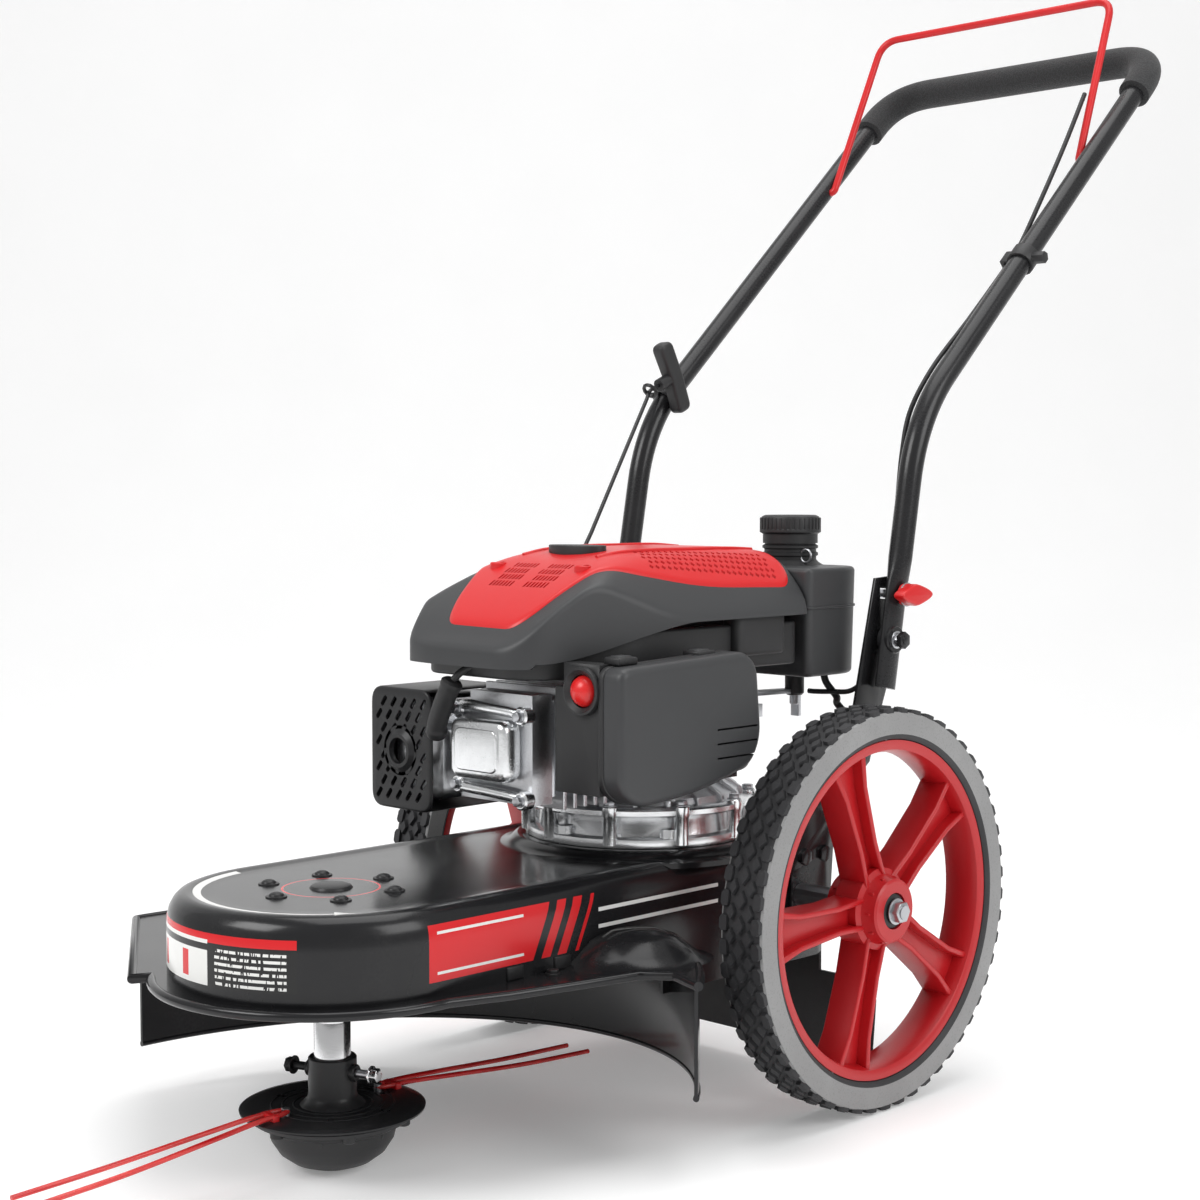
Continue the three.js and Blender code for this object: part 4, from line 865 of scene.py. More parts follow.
def hexBolt(name, centre, axis, across, high, material, side=1):
    corner = across / 1.732
    outline = [(corner * math.cos(math.pi / 3 * k), corner * math.sin(math.pi / 3 * k)) for k in range(6)]
    u, v, w = {"x": (1, 2, 0), "y": (0, 2, 1), "z": (0, 1, 2)}[axis]
    shifted = [(a + centre[u], b + centre[v]) for a, b in outline]
    low, top = sorted((centre[w], centre[w] + side * high))
    head = prism(name, shifted, axis, low, top, material, min(0.7, high * 0.2), 2)
    wide = across * 0.68
    washer = [(0.01, 0), (wide, 0), (wide, side * 1.0), (across * 0.64, side * 1.3), (0.01, side * 1.3)]
    return joined(name, [head, lathe(name, washer, centre, axis, material, 32)])


def makeHubParts(side, name, body, bush, nut):
    x = side * wheel["x"]
    ring = [(7, 27), (12, 27), (15, 26), (15.5, 22), (15.5, -27), (7, -27)]
    ring = [(r, side * w) for r, w in ring]
    bushPiece = lathe(name + "Bush", ring, (x, 0, wheelZ), "x", "darkPlastic", 40)
    place(bushPiece, body, bush, slot="black_plastic")
    nutPiece = hexBolt(name + "Nut", (side * wheel["nutX"], 0, wheelZ), "x", 17, 8.4, "zinc", side)
    place(nutPiece, "chassis", nut, slot="zinc_steel")


for side, word in ((1, "left"), (-1, "right")):
    title = word.capitalize()
    makeTyre(side, "tyre" + title, "wheel_" + word, "tyre_" + word)
    makeRim(side, "rim" + title, "wheel_" + word, "rim_" + word)
    makeHubParts(side, "hub" + title, "wheel_" + word, "hub_bush_" + word, "axle_nut_" + word)
print("wheels made")


guard = {
    "x": 7, "radius": 290.7, "wall": 3, "start": 36.5, "end": 179.5, "low": 57, "tilt": 0.045,
    "top": 157.2, "ribEvery": 9, "ribRadius": 291.6, "boltAngle": 166}

deck = {
    "half": 130, "rear": 46, "sheet": 2.5,
    "section": [(0, 112), (0, 202), (0.5, 210), (2.2, 217), (5.4, 222.6), (9.5, 226.4), (14, 228),
                (17, 228), (20, 227.6), (23, 226.9), (27, 226.6), (40, 226.6), (90, 226.6)],
    "engineSeat": [(0.01, 222), (126, 222), (126, 226.6), (121, 227.2), (116.6, 230), (112.5, 233.8),
                   (108, 235), (0.01, 235)],
    "hemLow": 157.5, "hemHigh": 160, "hemReach": 142, "hemRoll": 4.0, "clips": (-300, -352),
    "fender": [(0.01, 186), (14, 185), (27, 179), (36, 169), (43, 162.5), (50, 160), (0.01, 159)],
    "fenderPlace": (150, -236, 0), "fenderTurn": -24, "fenderStretch": 1.35}


def deckPlan(inset, steps=40):
    r = deck["half"] - inset
    turns = [math.pi + math.pi * k / steps for k in range(steps + 1)]
    arc = [(r * math.cos(a), headY + r * math.sin(a)) for a in turns]
    rear = deck["rear"] - inset
    corner = max(4, 18 - inset)
    right = [(r, rear - corner), (r - corner * 0.3, rear - corner * 0.3), (r - corner, rear)]
    return arc + right + [(-x, y) for x, y in right[::-1]]


def ringSurface(name, rings, material, smooth=35):
    count = len(rings[0])
    points = [at(*p) for ring in rings for p in ring]
    faces = [tuple(range(count))[::-1], tuple(range((len(rings) - 1) * count, len(rings) * count))]
    for k in range(len(rings) - 1):
        for step in range(count):
            n = (step + 1) % count
            faces.append((k * count + step, k * count + n, (k + 1) * count + n, (k + 1) * count + step))
    return fromFaces(name, points, faces, material, smooth=smooth)


def makeDeck():
    outer = deck["section"]
    inner = [(inset + deck["sheet"], z - (2.5 if inset > 10 else 0)) for inset, z in outer][::-1]
    rings = [[(x, y, z) for x, y in deckPlan(i)] for i, z in inner + outer]
    shell = ringSurface("deckShell", rings, "deck")
    front = block("cutter", -400, 400, -900, -180.5, 60, deck["hemLow"], "deck", 0)
    rear = block("cutter", -400, 400, -181, 200, 60, 118, "deck", 0)
    shell = carve(shell, front, rear)
    seat = lathe("seat", deck["engineSeat"], (engineX, engineY, 0), "z", "deck", 96)
    parts = [shell, seat, makeHem(), deckFittings()]
    place(joined("deckShell", parts), "chassis", "deck_shell", slot="gloss_black")


def guardPoint(radius, degrees):
    turn = math.radians(degrees)
    return (guard["x"] + radius * math.cos(turn), headY + radius * math.sin(turn))


def guardArc(radius, start, end, steps):
    return [guardPoint(radius, start + (end - start) * k / steps) for k in range(steps + 1)]


def hemOutline():
    reach = deck["hemReach"]
    turns = [math.radians(a) for a in range(232, 361, 4)]
    nose = [(reach * math.cos(a), headY + reach * math.sin(a)) for a in turns]
    return guardArc(291, 36, 180, 60) + [(-94, -558)] + nose + [(158, -385), (184, -268), (206, -248)]


def makeHem():
    plate = prism("hem", hemOutline(), "z", deck["hemLow"], deck["hemHigh"], "deck", 0)
    hole = prism("cutter", deckPlan(2), "z", 120, 190, "deck", 0)
    plate = carve(plate, hole)
    edge = [Vector((x, y, 158)) for x, y in hemOutline()]
    return joined("hem", [plate, sweep("roll", edge + [edge[0]], deck["hemRoll"], "deck", 12)])


# clips and bolts on the deck walls, and the fender swell ahead of the near wheel
def deckFittings():
    parts = []
    for side in (-1, 1):
        for y in deck["clips"]:
            parts.append(block("clip", side * 126, side * 131.6, y - 9, y + 9, 160, 171, "satinBlack", 1.2))
        parts.append(hexBolt("bolt", (side * 138, -318, 160), "z", 9, 4, "satinBlack"))
    fender = atOrigin(lathe("fender", deck["fender"], (0, 0, 0), "z", "deck", 64, smooth=60))
    turn = Matrix.Rotation(math.radians(deck["fenderTurn"]), 4, "Z")
    stretch = Matrix.Scale(deck["fenderStretch"], 4, (0, 1, 0))
    fender.data.transform(moved(*deck["fenderPlace"], turn @ stretch))
    return joined("fittings", parts + [fender])


spindle = {
    "bolt": [(0.01, 4.2), (2.4, 4.0), (4.4, 3.3), (5.8, 2.2), (6.2, 1.1), (8.4, 1.0), (8.6, 0.4),
             (8.6, -3), (0.01, -3)],
    "bolts": 6, "boltCircle": 54, "firstBolt": 30,
    "cap": [(0.01, 229.5), (13, 229.5), (16, 228.6), (17.6, 226.5), (18, 224.4), (18, 200), (0.01, 200)],
    "house": [(17.6, 189), (36, 189), (38, 191), (66, 216), (66, 224), (17.6, 224)],
    "shaft": [(0.01, 62), (14, 62), (14.8, 63), (14.8, 118), (14.2, 119), (14.2, 120.5), (14.8, 121.5),
              (14.8, 158), (17, 160), (17, 226), (0.01, 226)],
    "collar": [(15, 90), (18.6, 90), (19.6, 88.8), (19.6, 60), (21, 56), (25, 52.5), (27, 50.6),
               (15, 50.6)],
    "collarBolts": ((20, "zinc", "chrome"), (200, "satinBlack", "satinBlack")),
    "collarBoltZ": 78}


def domeBolts():
    single = atOrigin(lathe("bolt", spindle["bolt"], (0, 0, 0), "z", "black", 28))
    return repeated("bolts", ringOf, single, "satinBlack", moved(0, headY, 226.6), Count=spindle["bolts"],
                    Radius=spindle["boltCircle"] * mm, Start=math.radians(spindle["firstBolt"]))


def makeSpindle():
    house = lathe("house", spindle["house"], (0, headY, 0), "z", "castDark", 64)
    cap = lathe("cap", spindle["cap"], (0, headY, 0), "z", "satinBlack", 48)
    place(joined("spindleHousing", [house, domeBolts(), cap]), "chassis", "spindle_housing",
          slot="black_steel")
    shaft = lathe("spindleShaft", spindle["shaft"], (0, headY, 0), "z", "chrome", 64)
    place(shaft, "line_head", "spindle_shaft", slot="chrome")


def makeCollar():
    parts = [lathe("collar", spindle["collar"], (0, headY, 0), "z", "satinBlack", 56)]
    for turn, stemFinish, headFinish in spindle["collarBolts"]:
        boss = rod("boss", 7, "x", (20, 0, 0), 6, "satinBlack", 28, 1)
        stem = rod("stem", 3.4, "x", (28, 0, 0), 18, stemFinish, 20, 0.6)
        bolt = atOrigin(joined("bolt", [boss, stem, hexBolt("head", (36, 0, 0), "x", 11, 7, headFinish)]))
        spin = Matrix.Rotation(math.radians(turn), 4, "Z")
        bolt.data.transform(moved(0, headY, spindle["collarBoltZ"], spin))
        parts.append(bolt)
    place(joined("headCollar", parts), "line_head", "head_collar", slot="gloss_black")


disc = {
    "dish": [(22, 51), (66, 51), (73, 50.2), (75, 49.2), (74.6, 47.6), (66, 48.2), (22, 48.2)],
    "under": [(15, 48.4), (60, 48.4), (64, 47), (66, 44), (64.5, 41), (58, 40), (15, 40)],
    "slots": 6, "slotCircle": 48, "feet": 6, "footCircle": 59, "beads": (30, 39, 48), "clipY": 62,
    "postY": 47}


def makeDisc():
    plate = lathe("disc", disc["dish"], (0, headY, 0), "z", "satinBlack", 112)
    slot = atOrigin(block("slot", -4.6, 4.6, -2.6, 2.6, -12, 12, "satinBlack", 0))
    cutters = repeated("slots", ringOf, slot, "satinBlack", moved(0, headY, 48), Count=disc["slots"],
                       Radius=disc["slotCircle"] * mm, Start=0.35)
    plate = carve(plate, cutters)
    parts = [plate, lathe("under", disc["under"], (0, headY, 0), "z", "darkPlastic", 96)]
    foot = atOrigin(rod("foot", 5.4, "z", (0, 0, 0), 8, "darkPlastic", 24, 1))
    parts.append(repeated("feet", ringOf, foot, "darkPlastic", moved(0, headY, 40), Count=disc["feet"],
                          Radius=disc["footCircle"] * mm, Start=0.6))
    for radius in disc["beads"]:
        rim = [(radius, 50.6), (radius + 1.4, 51.7), (radius + 3, 50.6)]
        parts.append(lathe("bead", rim, (0, headY, 0), "z", "satinBlack", 80))
    for hand in (1, -1):
        y = headY - hand * disc["clipY"]
        parts.append(block("clip", -9, 9, y - 3, y + 3, 47, 56, "red", 1))
        parts.append(rod("post", 3.4, "z", (0, headY - hand * disc["postY"], 50), 14, "zinc", 20))
    place(joined("cuttingDisc", parts), "line_head", "cutting_disc", slot="black_steel")


bowl = {
    "wall": [(0.01, 0.4), (13, 0.2), (20, 1.6), (33, 6.5), (43, 14), (49.5, 24), (52, 34), (54.5, 36),
             (54.5, 39.5), (51, 39.5), (50, 34), (47, 26), (40, 17), (30, 10), (16, 5.6), (0.01, 4.6)],
    "rib": [(46, 20), (51, 30), (54.5, 39.6), (48, 39.6)],
    "ribs": 6}


def makeBowl():
    parts = [lathe("bowl", bowl["wall"], (0, headY, 0), "z", "darkPlastic", 80)]
    rib = atOrigin(prism("rib", bowl["rib"], "y", -1.6, 1.6, "darkPlastic", 0.5))
    parts.append(repeated("ribs", ringOf, rib, "darkPlastic", moved(0, headY, 0), Count=bowl["ribs"],
                          Radius=0.0, Start=0.2))
    place(joined("lineBowl", parts), "line_head", "line_bowl", slot="black_plastic")


# one length of line: in through an eyelet, round the post and out again
trimLine = {
    "radius": 2.1,
    "corners": [(15, -280, 40), (13, -200, 44), (9, -120, 50.5), (6, -75, 54), (4.5, -52, 54.5),
                (0, -45.6, 54.4), (-4.5, -52, 54.5), (-6, -75, 54), (-8, -120, 50.5), (-11, -200, 44),
                (-12, -280, 40)]}


def makeLines():
    for sign, name, node in ((1, "lineFront", "line_front"), (-1, "lineRear", "line_rear")):
        corners = [(sign * x, headY + sign * y, z) for x, y, z in trimLine["corners"]]
        line = sweep(name, smoothLine(corners, 8), trimLine["radius"], "nylon", 12)
        place(line, "line_head", node, slot="red_nylon")


def makeGuard():
    g = guard
    outer = guardArc(g["radius"], g["start"], g["end"], 72)
    inner = guardArc(g["radius"] - g["wall"], g["start"], g["end"], 72)
    low = [g["low"] + g["tilt"] * x for x, y in outer]
    rows = [[(x, y, l) for (x, y), l in zip(outer, low)], [(x, y, g["top"]) for x, y in outer],
            [(x, y, g["top"]) for x, y in inner], [(x, y, l) for (x, y), l in zip(inner, low)]]
    count = len(outer)
    points = [at(*p) for row in rows for p in row]
    faces = []
    for k in range(4):
        n = (k + 1) % 4
        faces += [(k * count + s, k * count + s + 1, n * count + s + 1, n * count + s)
                  for s in range(count - 1)]
    faces += [tuple(k * count for k in range(4))[::-1], tuple(k * count + count - 1 for k in range(4))]
    parts = [fromFaces("skirt", points, faces, "deck")]
    middle = guardArc(g["radius"] - g["wall"] / 2, g["start"], g["end"], 72)
    edge = [Vector((x, y, l)) for (x, y), l in zip(middle, low)]
    parts.append(sweep("roll", edge, 2.6, "black", 10))
    for a in range(60, 180, g["ribEvery"]):
        x, y = guardPoint(g["ribRadius"], a)
        foot = g["low"] + 9 + g["tilt"] * x
        run = [Vector((x, y, z)) for z in (foot, foot + 4, 148, 150)]
        parts.append(sweep("rib", run, 2.4, "black", 10, endsNarrowed(0.3, 0.3)))
    x, y = guardPoint(286, g["boltAngle"])
    parts.append(rod("bolt", 8, "x", (x, y, 118), 6, "satinBlack", 28, 1.6))
    place(joined("stringGuard", parts), "chassis", "string_guard", slot="gloss_black")


makeDeck()
makeSpindle()
makeCollar()
makeDisc()
makeBowl()
makeLines()
makeGuard()
print("deck and head made")


handle = {
    "x": 172.4, "tube": 11, "foam": 16.4, "foot": (71.8, 363.8), "knee": (118, 612), "grip": (545, 1003),
    "foamEnd": (494.9, 957), "pivot": (80, 408), "flatEnd": 78, "flatFade": 34}


# the tube's two feet are pressed flat and fade back to round
def pressed(t, total):
    away = min(t, 1 - t) * total
    share = max(0.0, min(1.0, (away - handle["flatEnd"]) / handle["flatFade"]))
    share = share * share * (3 - 2 * share)
    return (1.28 - 0.28 * share, 0.5 + 0.5 * share)


def makeHandle():
    x = handle["x"]
    leg = [(x, *handle[key]) for key in ("foot", "knee", "grip")]
    path = bends(leg + [(-x, y, z) for _, y, z in leg[::-1]], [60, 52, 52, 60], 12)
    total = sum((b - a).length for a, b in zip(path, path[1:]))
    fine = []
    for a, b in zip(path, path[1:]):
        many = max(1, int((b - a).length / 12))
        fine += [a + (b - a) * (k / many) for k in range(many)]
    fine.append(path[-1])
    parts = [sweep("tube", fine, handle["tube"], "tube", 36, lambda t: pressed(t, total))]
    for side in (1, -1):
        parts.append(rod("eyelet", 13, "x", (side * x, *handle["pivot"]), 13, "tube", 36, 1.2))
        parts.append(hexBolt("bolt", (side * (x + 6.5), *handle["pivot"]), "x", 12, 6, "zinc", side))
    place(joined("handleTube", parts), "handle", "handle_tube", slot="gloss_black_tube")
    makeFoam()


def makeFoam():
    x = handle["x"]
    ends = [(x, *handle["foamEnd"]), (x, *handle["grip"]), (-x, *handle["grip"]), (-x, *handle["foamEnd"])]
    path = bends(ends, [52, 52], 14)
    first, last = path[0], path[-1]
    path = [first] + [first + (path[1] - first).normalized() * 1.2] + path[1:-1]
    path += [last - (last - path[-1]).normalized() * 1.2, last]
    foam = sweep("foamGrip", path, handle["foam"], "foam", 36, endsNarrowed(0.72, 0.72))
    place(foam, "handle", "foam_grip", slot="foam")


bail = {
    "radius": 4,
    "side": [(168, 413, 880), (158, 413, 880), (156.5, 425, 908), (149, 490, 1058)],
    "bends": [5, 5, 22, 22, 5, 5]}


def makeBail():
    side = bail["side"]
    path = bends(side + [(-x, y, z) for x, y, z in side[::-1]], bail["bends"], 8)
    place(sweep("bailWire", path, bail["radius"], "redWire", 20), "bail_lever", "bail", slot="red_wire")


knob = {
    "y": 87.7, "z": 449.3, "core": 10, "wing": 13, "tall": 9.6, "inner": 186, "outer": 197.9, "steps": 96}


def makeKnob(side, name, body, node):
    y, z = knob["y"], knob["z"]
    lobes = []
    for k in range(knob["steps"]):
        a = 2 * math.pi * k / knob["steps"]
        reach = knob["core"] + knob["wing"] * abs(math.cos(a)) ** 2.0
        lobes.append((y + reach * math.cos(a), z + knob["tall"] * math.sin(a)))
    low, top = sorted((side * knob["inner"], side * knob["outer"]))
    parts = [prism("wing", lobes, "x", low, top, "red", 3, 4)]
    parts.append(rod("hub", knob["core"], "x", (side * 188, y, z), 16, "red", 40, 1.4))
    parts.append(rod("stud", 4, "x", (side * 170, y, z), 32, "zinc", 24))
    parts.append(rod("washer", 11, "x", (side * 184.8, y, z), 1.4, "zinc", 32, 0.3))
    place(joined(name, parts), body, node, slot="red_plastic")


pullGrip = {
    "outline": [(-11, -38), (9, -38), (11, 0), (9, 38), (-11, 38), (-8, 0)],
    "half": 8, "neck": 6.5, "neckRun": (-22, -18, -6)}


def makeStarterGrip():
    outline = roundOff(pullGrip["outline"], 8, 6)
    grip = atOrigin(prism("grip", outline, "x", -pullGrip["half"], pullGrip["half"], "darkPlastic", 4.5, 5))
    run = [Vector((0, y, 0)) for y in pullGrip["neckRun"]]
    neck = atOrigin(sweep("neck", run, pullGrip["neck"], "darkPlastic", 24))
    piece = joined("starterGrip", [grip, neck])
    tilt = math.atan2(pullWay.z, pullWay.y)
    piece.data.transform(moved(*pullPlace, Matrix.Rotation(tilt, 4, "X")))
    place(piece, "starter_grip", "starter_handle", slot="black_plastic")


makeHandle()
makeBail()
makeKnob(1, "knobLeft", "clamp_knob_left", "knob_left")
makeKnob(-1, "knobRight", "clamp_knob_right", "knob_right")
makeStarterGrip()
print("handle made")


cowl = {
    "middle": (37, -150), "archTop": 496, "archHalf": 38, "archDrop": 58, "archReach": 70, "blend": 12,
    "wall": 3,
    "side": [(-322, 412), (-306, 430), (-280, 451), (-250, 470), (-222, 484), (-190, 492), (-150, 495),
             (-60, 495), (-14, 491), (2, 485)],
    "plan": [(-72, -256), (-42, -316), (-14, -322), (84, -322), (104, -304), (126, -236), (146, -180),
             (146, 2), (-72, 2)],
    "rounding": [10, 10, 14, 16, 22, 40, 30, 20, 20],
    "inside": [(-58, -250), (-36, -300), (78, -302), (96, -280), (128, -210), (134, -2), (-60, -2)],
    "duct": (118, 140, -96, -28)}
cover = {
    "plan": [(-6, -303), (76, -304), (88, -288), (112, -214), (127, -130), (130, -16), (120, -3), (-44, -3),
             (-56, -60), (-52, -190), (-18, -284)],
    "rounding": [10, 10, 14, 30, 40, 16, 10, 16, 40, 30, 12], "lift": 2.2, "wall": 2.6,
    "diamond": [(-2.7, 0), (0, -2.1), (2.7, 0), (0, 2.1)],
    "holePatches": [(106, -100, 85, 22, 5), (-38, -102, 90, 20, 4)],   # x, y, turn, columns, rows
    "slitX": (16, 58), "screwX": (-16, 88), "lowSideX": (-20, 92), "screwY": -234,
    "badge": (37, -190, 31, 17), "creaseX": (-8, 82),
    "crease": [(-212, 0), (-190, 3), (-150, 5), (-100, 6), (-50, 6), (-16, 4)]}


def sideHeight(y):
    line = cowl["side"]
    for (y0, z0), (y1, z1) in zip(line, line[1:]):
        if y <= y1:
            t = max(0.0, (y - y0) / (y1 - y0))
            return z0 + (z1 - z0) * t
    return line[-1][1]


def cowlHeight(x, y):
    side = sum(sideHeight(y + d) for d in (-12, -6, 0, 6, 12)) / 5
    away = max(0.0, abs(x - cowl["middle"][0]) - cowl["archHalf"]) / cowl["archReach"]
    arch = cowl["archTop"] - cowl["archDrop"] * away ** 1.7
    soft = cowl["blend"]
    share = max(0.0, min(1.0, 0.5 + 0.5 * (arch - side) / soft))
    return arch * (1 - share) + side * share - soft * share * (1 - share)


def evenly(outline, count):
    loop = outline + [outline[0]]
    sizes = [math.dist(a, b) for a, b in zip(loop, loop[1:])]
    total, out, seg, past = sum(sizes), [], 0, 0.0
    for k in range(count):
        want = total * k / count
        while past + sizes[seg] < want:
            past += sizes[seg]
            seg += 1
        t = (want - past) / sizes[seg]
        a, b = loop[seg], loop[seg + 1]
        out.append((a[0] + (b[0] - a[0]) * t, a[1] + (b[1] - a[1]) * t))
    return out


def shrunk(outline, share, middle):
    return [(middle[0] + (x - middle[0]) * share, middle[1] + (y - middle[1]) * share) for x, y in outline]


# a shell over a plan: the skirt starts at foot(x, y) and the crown follows the cowl
def crowned(name, plan, material, lift, foot, wall, middle):
    outline = evenly(plan, 200)
    shares = [0.975, 0.95, 0.92, 0.88, 0.83, 0.77, 0.7, 0.6, 0.48, 0.34, 0.2, 0.06]
    outer = [[(x, y, foot(x, y)) for x, y in outline],
             [(x, y, max(foot(x, y) + 1, cowlHeight(x, y) + lift - 5)) for x, y in outline]]
    for share, drop in ((0.996, 2.2), (0.988, 0.7)):
        ring = shrunk(outline, share, middle)
        outer.append([(x, y, max(foot(x, y) + 1.5, cowlHeight(x, y) + lift - drop)) for x, y in ring])
    for share in shares:
        outer.append([(x, y, cowlHeight(x, y) + lift) for x, y in shrunk(outline, share, middle)])
    inner = [[(x, y, foot(x, y)) for x, y in shrunk(outline, 0.975, middle)]]
    for share in [0.95] + shares[2:]:
        inner.append([(x, y, cowlHeight(x, y) + lift - wall) for x, y in shrunk(outline, share, middle)])
    return ringSurface(name, inner[::-1] + outer, material, smooth=42)


# the skirt's lower edge steps up over the intake at the side
def cowlFoot(x, y):
    if x > 100:
        t = max(0.0, min(1.0, (y + 300) / 150))
        return 404 + 30 * t * t * (3 - 2 * t)
    return 400 - 10 * max(0.0, min(1.0, (y + 262) / 200))


def makeCowl():
    middle = cowl["middle"]
    shell = crowned("cowl", roundOff(cowl["plan"], cowl["rounding"], 6), "grey", 0, cowlFoot,
                    cowl["wall"], middle)
    shell = carve(shell, prism("cutter", shrunk(cover["plan"], 0.88, middle), "z", 380, 520, "grey", 0))
    inside = roundOff(cowl["inside"], 16, 5)
    housing = prism("housing", inside, "z", 389, 428, "darkPlastic", 3, 3)
    housing = carve(housing, prism("cutter", shrunk(inside, 0.93, middle), "z", 380, 440, "darkPlastic", 0))
    duct = prism("duct", rectangle(*cowl["duct"], 10), "z", 400, 440, "darkPlastic", 4, 3)
    place(joined("engineCowl", [shell, housing, duct]), "chassis", "engine_shroud", slot="grey_plastic")


# diamond holes down both sides and slits at the front
def coverCutters():
    cutters = []
    for x, y, turn, columns, rows in cover["holePatches"]:
        diamond = atOrigin(prism("hole", cover["diamond"], "z", -60, 60, "red", 0))
        turned = moved(x, y, 480, Matrix.Rotation(math.radians(turn), 4, "Z"))
        cutters.append(repeated("holes", gridOf, diamond, "red", turned, Columns=columns, Rows=rows,
                                Pitch_X=7.0 * mm, Pitch_Y=5.2 * mm, Stagger=0.5))
    for x in cover["slitX"]:
        slit = atOrigin(prism("hole", rectangle(-1.1, 1.1, -3.6, 3.6, 1), "z", -60, 60, "red", 0))
        cutters.append(repeated("holes", gridOf, slit, "red", moved(x, -246, 470), Columns=7, Rows=4,
                                Pitch_X=4.1 * mm, Pitch_Y=9.0 * mm, Stagger=0.5))
    return cutters


def makeCover():
    plan = roundOff(cover["plan"], cover["rounding"], 6)
    lift, y = cover["lift"], cover["screwY"]
    shell = crowned("cover", plan, "red", lift, lambda x, y: cowlHeight(x, y) - 3, cover["wall"],
                    cowl["middle"])
    cutters = coverCutters()
    # each screw well is cut from the height of its lower side
    for x, lowSide in zip(cover["screwX"], cover["lowSideX"]):
        cutters.append(rod("cutter", 5.6, "z", (x, y, cowlHeight(lowSide, y) + 8), 24, "red", 28, 0))
    parts = [carve(shell, *cutters)]
    for x in cover["screwX"]:
        z = cowlHeight(x, y)
        ring = [(5.2, z - 8), (7.4, z - 8), (7.4, z + 3.4), (6.6, z + 4.2), (5.6, z + 3.6), (5.2, z + 2)]
        parts.append(lathe("ring", ring, (x, y, 0), "z", "red", 32))
        parts.append(rod("screw", 4.6, "z", (x, y, z - 4), 6, "darkPlastic", 24, 1))
    badgeX, badgeY, wide, long = cover["badge"]
    turns = [2 * math.pi * k / 64 for k in range(64)]
    oval = [(badgeX + wide * math.cos(a), badgeY + long * math.sin(a)) for a in turns]
    parts.append(prism("badge", oval, "z", 488, 497.4, "darkPlastic", 0.9))
    for x in cover["creaseX"]:
        line = [Vector((x + side, y, cowlHeight(x + side, y) + lift)) for y, side in cover["crease"]]
        parts.append(sweep("crease", smoothLine(line, 6), 1.8, "red", 10))
    place(joined("topCover", parts), "chassis", "top_cover", slot="red_plastic")


makeCowl()
makeCover()
print("cowl made")


tank = {
    "corners": [(-45, 4), (138, 4), (138, 96), (-45, 96)],
    "rounding": [6, 8, 66, 44],
    "middle": (46, 50), "low": 375, "top": 474, "seam": 437, "capPlace": (60, 72, 0), "capRibs": 36,
    "neck": [(0.01, 470), (31, 470), (31, 474), (27, 476.5), (24.6, 479), (24.6, 482), (26.4, 483),
             (26.4, 485.4), (24.6, 486.4), (24.6, 489), (26.4, 490), (26.4, 492), (24, 493.5), (24, 500),
             (0.01, 500)],
    "cap": [(0.01, 521), (24, 521), (27, 519.6), (28.2, 517), (28.2, 508), (29, 507), (29, 505),
            (26, 503), (26, 494.5), (0.01, 494.5)],
    "strap": [(110, 60, 376), (112, 62, 366), (120, 68, 352), (117, 72, 346), (126, 78, 334),
              (130, 82, 326)],
    "tap": (84, 50)}


# the tank widens upwards and has a parting seam
def makeTank():
    plan = roundOff(tank["corners"], tank["rounding"], 14)
    low = shrunk(plan, 0.97, tank["middle"])
    body = prism("tank", low, "z", tank["low"], tank["top"], "grey", 11, 5, top=plan)
    seam = shrunk(plan, 1.006, tank["middle"])
    seam = prism("seam", seam, "z", tank["seam"], tank["seam"] + 2.4, "grey", 0.8)
    parts = [body, seam, lathe("neck", tank["neck"], tank["capPlace"], "z", "darkPlastic", 64)]
    turns = [math.pi * k / 10 for k in range(21)]
    loop = [Vector((87 + 6 * math.cos(a), 62, 483 + 6 * math.sin(a))) for a in turns]
    parts.append(sweep("ring", loop, 1.2, "zinc", 10))
    parts.append(sweep("strap", smoothLine(tank["strap"], 5), 3.4, "satinBlack", 12))
    parts.append(rod("tap", 9, "z", (*tank["tap"], 364), 22, "darkPlastic", 28, 2))
    parts.append(rod("outlet", 4.6, "z", (*tank["tap"], 350), 12, "zinc", 20, 1))
    place(joined("fuelTank", parts), "chassis", "fuel_tank", slot="grey_plastic")


def makeCap():
    x, y, base = tank["capPlace"]
    outline = [(-1.3, 0.0), (1.3, 0.0), (1.3, 14), (-1.3, 14)]
    rib = atOrigin(prism("rib", outline, "x", -0.8, 0.9, "darkPlastic", 0.4))
    ribs = repeated("ribs", ringOf, rib, "darkPlastic", moved(x, y, base + 504.5), Count=tank["capRibs"],
                    Radius=28 * mm, Start=0.0)
    cap = lathe("cap", tank["cap"], tank["capPlace"], "z", "darkPlastic", 72)
    place(joined("fuelCap", [cap, ribs]), "tank_cap", "fuel_cap", slot="black_plastic")


filterCover = {
    "face": [(-286, 306), (-264, 291), (-190, 296), (-126, 313), (-113, 336), (-119, 398), (-134, 410),
             (-286, 404)],
    "rounding": [14, 20, 40, 12, 20, 10, 12, 12],
    "inner": 158, "outer": 183.5, "grooves": (346, 334, 322), "latches": (-262, -168),
    "resonator": [(-150, 300), (-100, 306), (-98, 350), (-104, 372), (-150, 380)]}


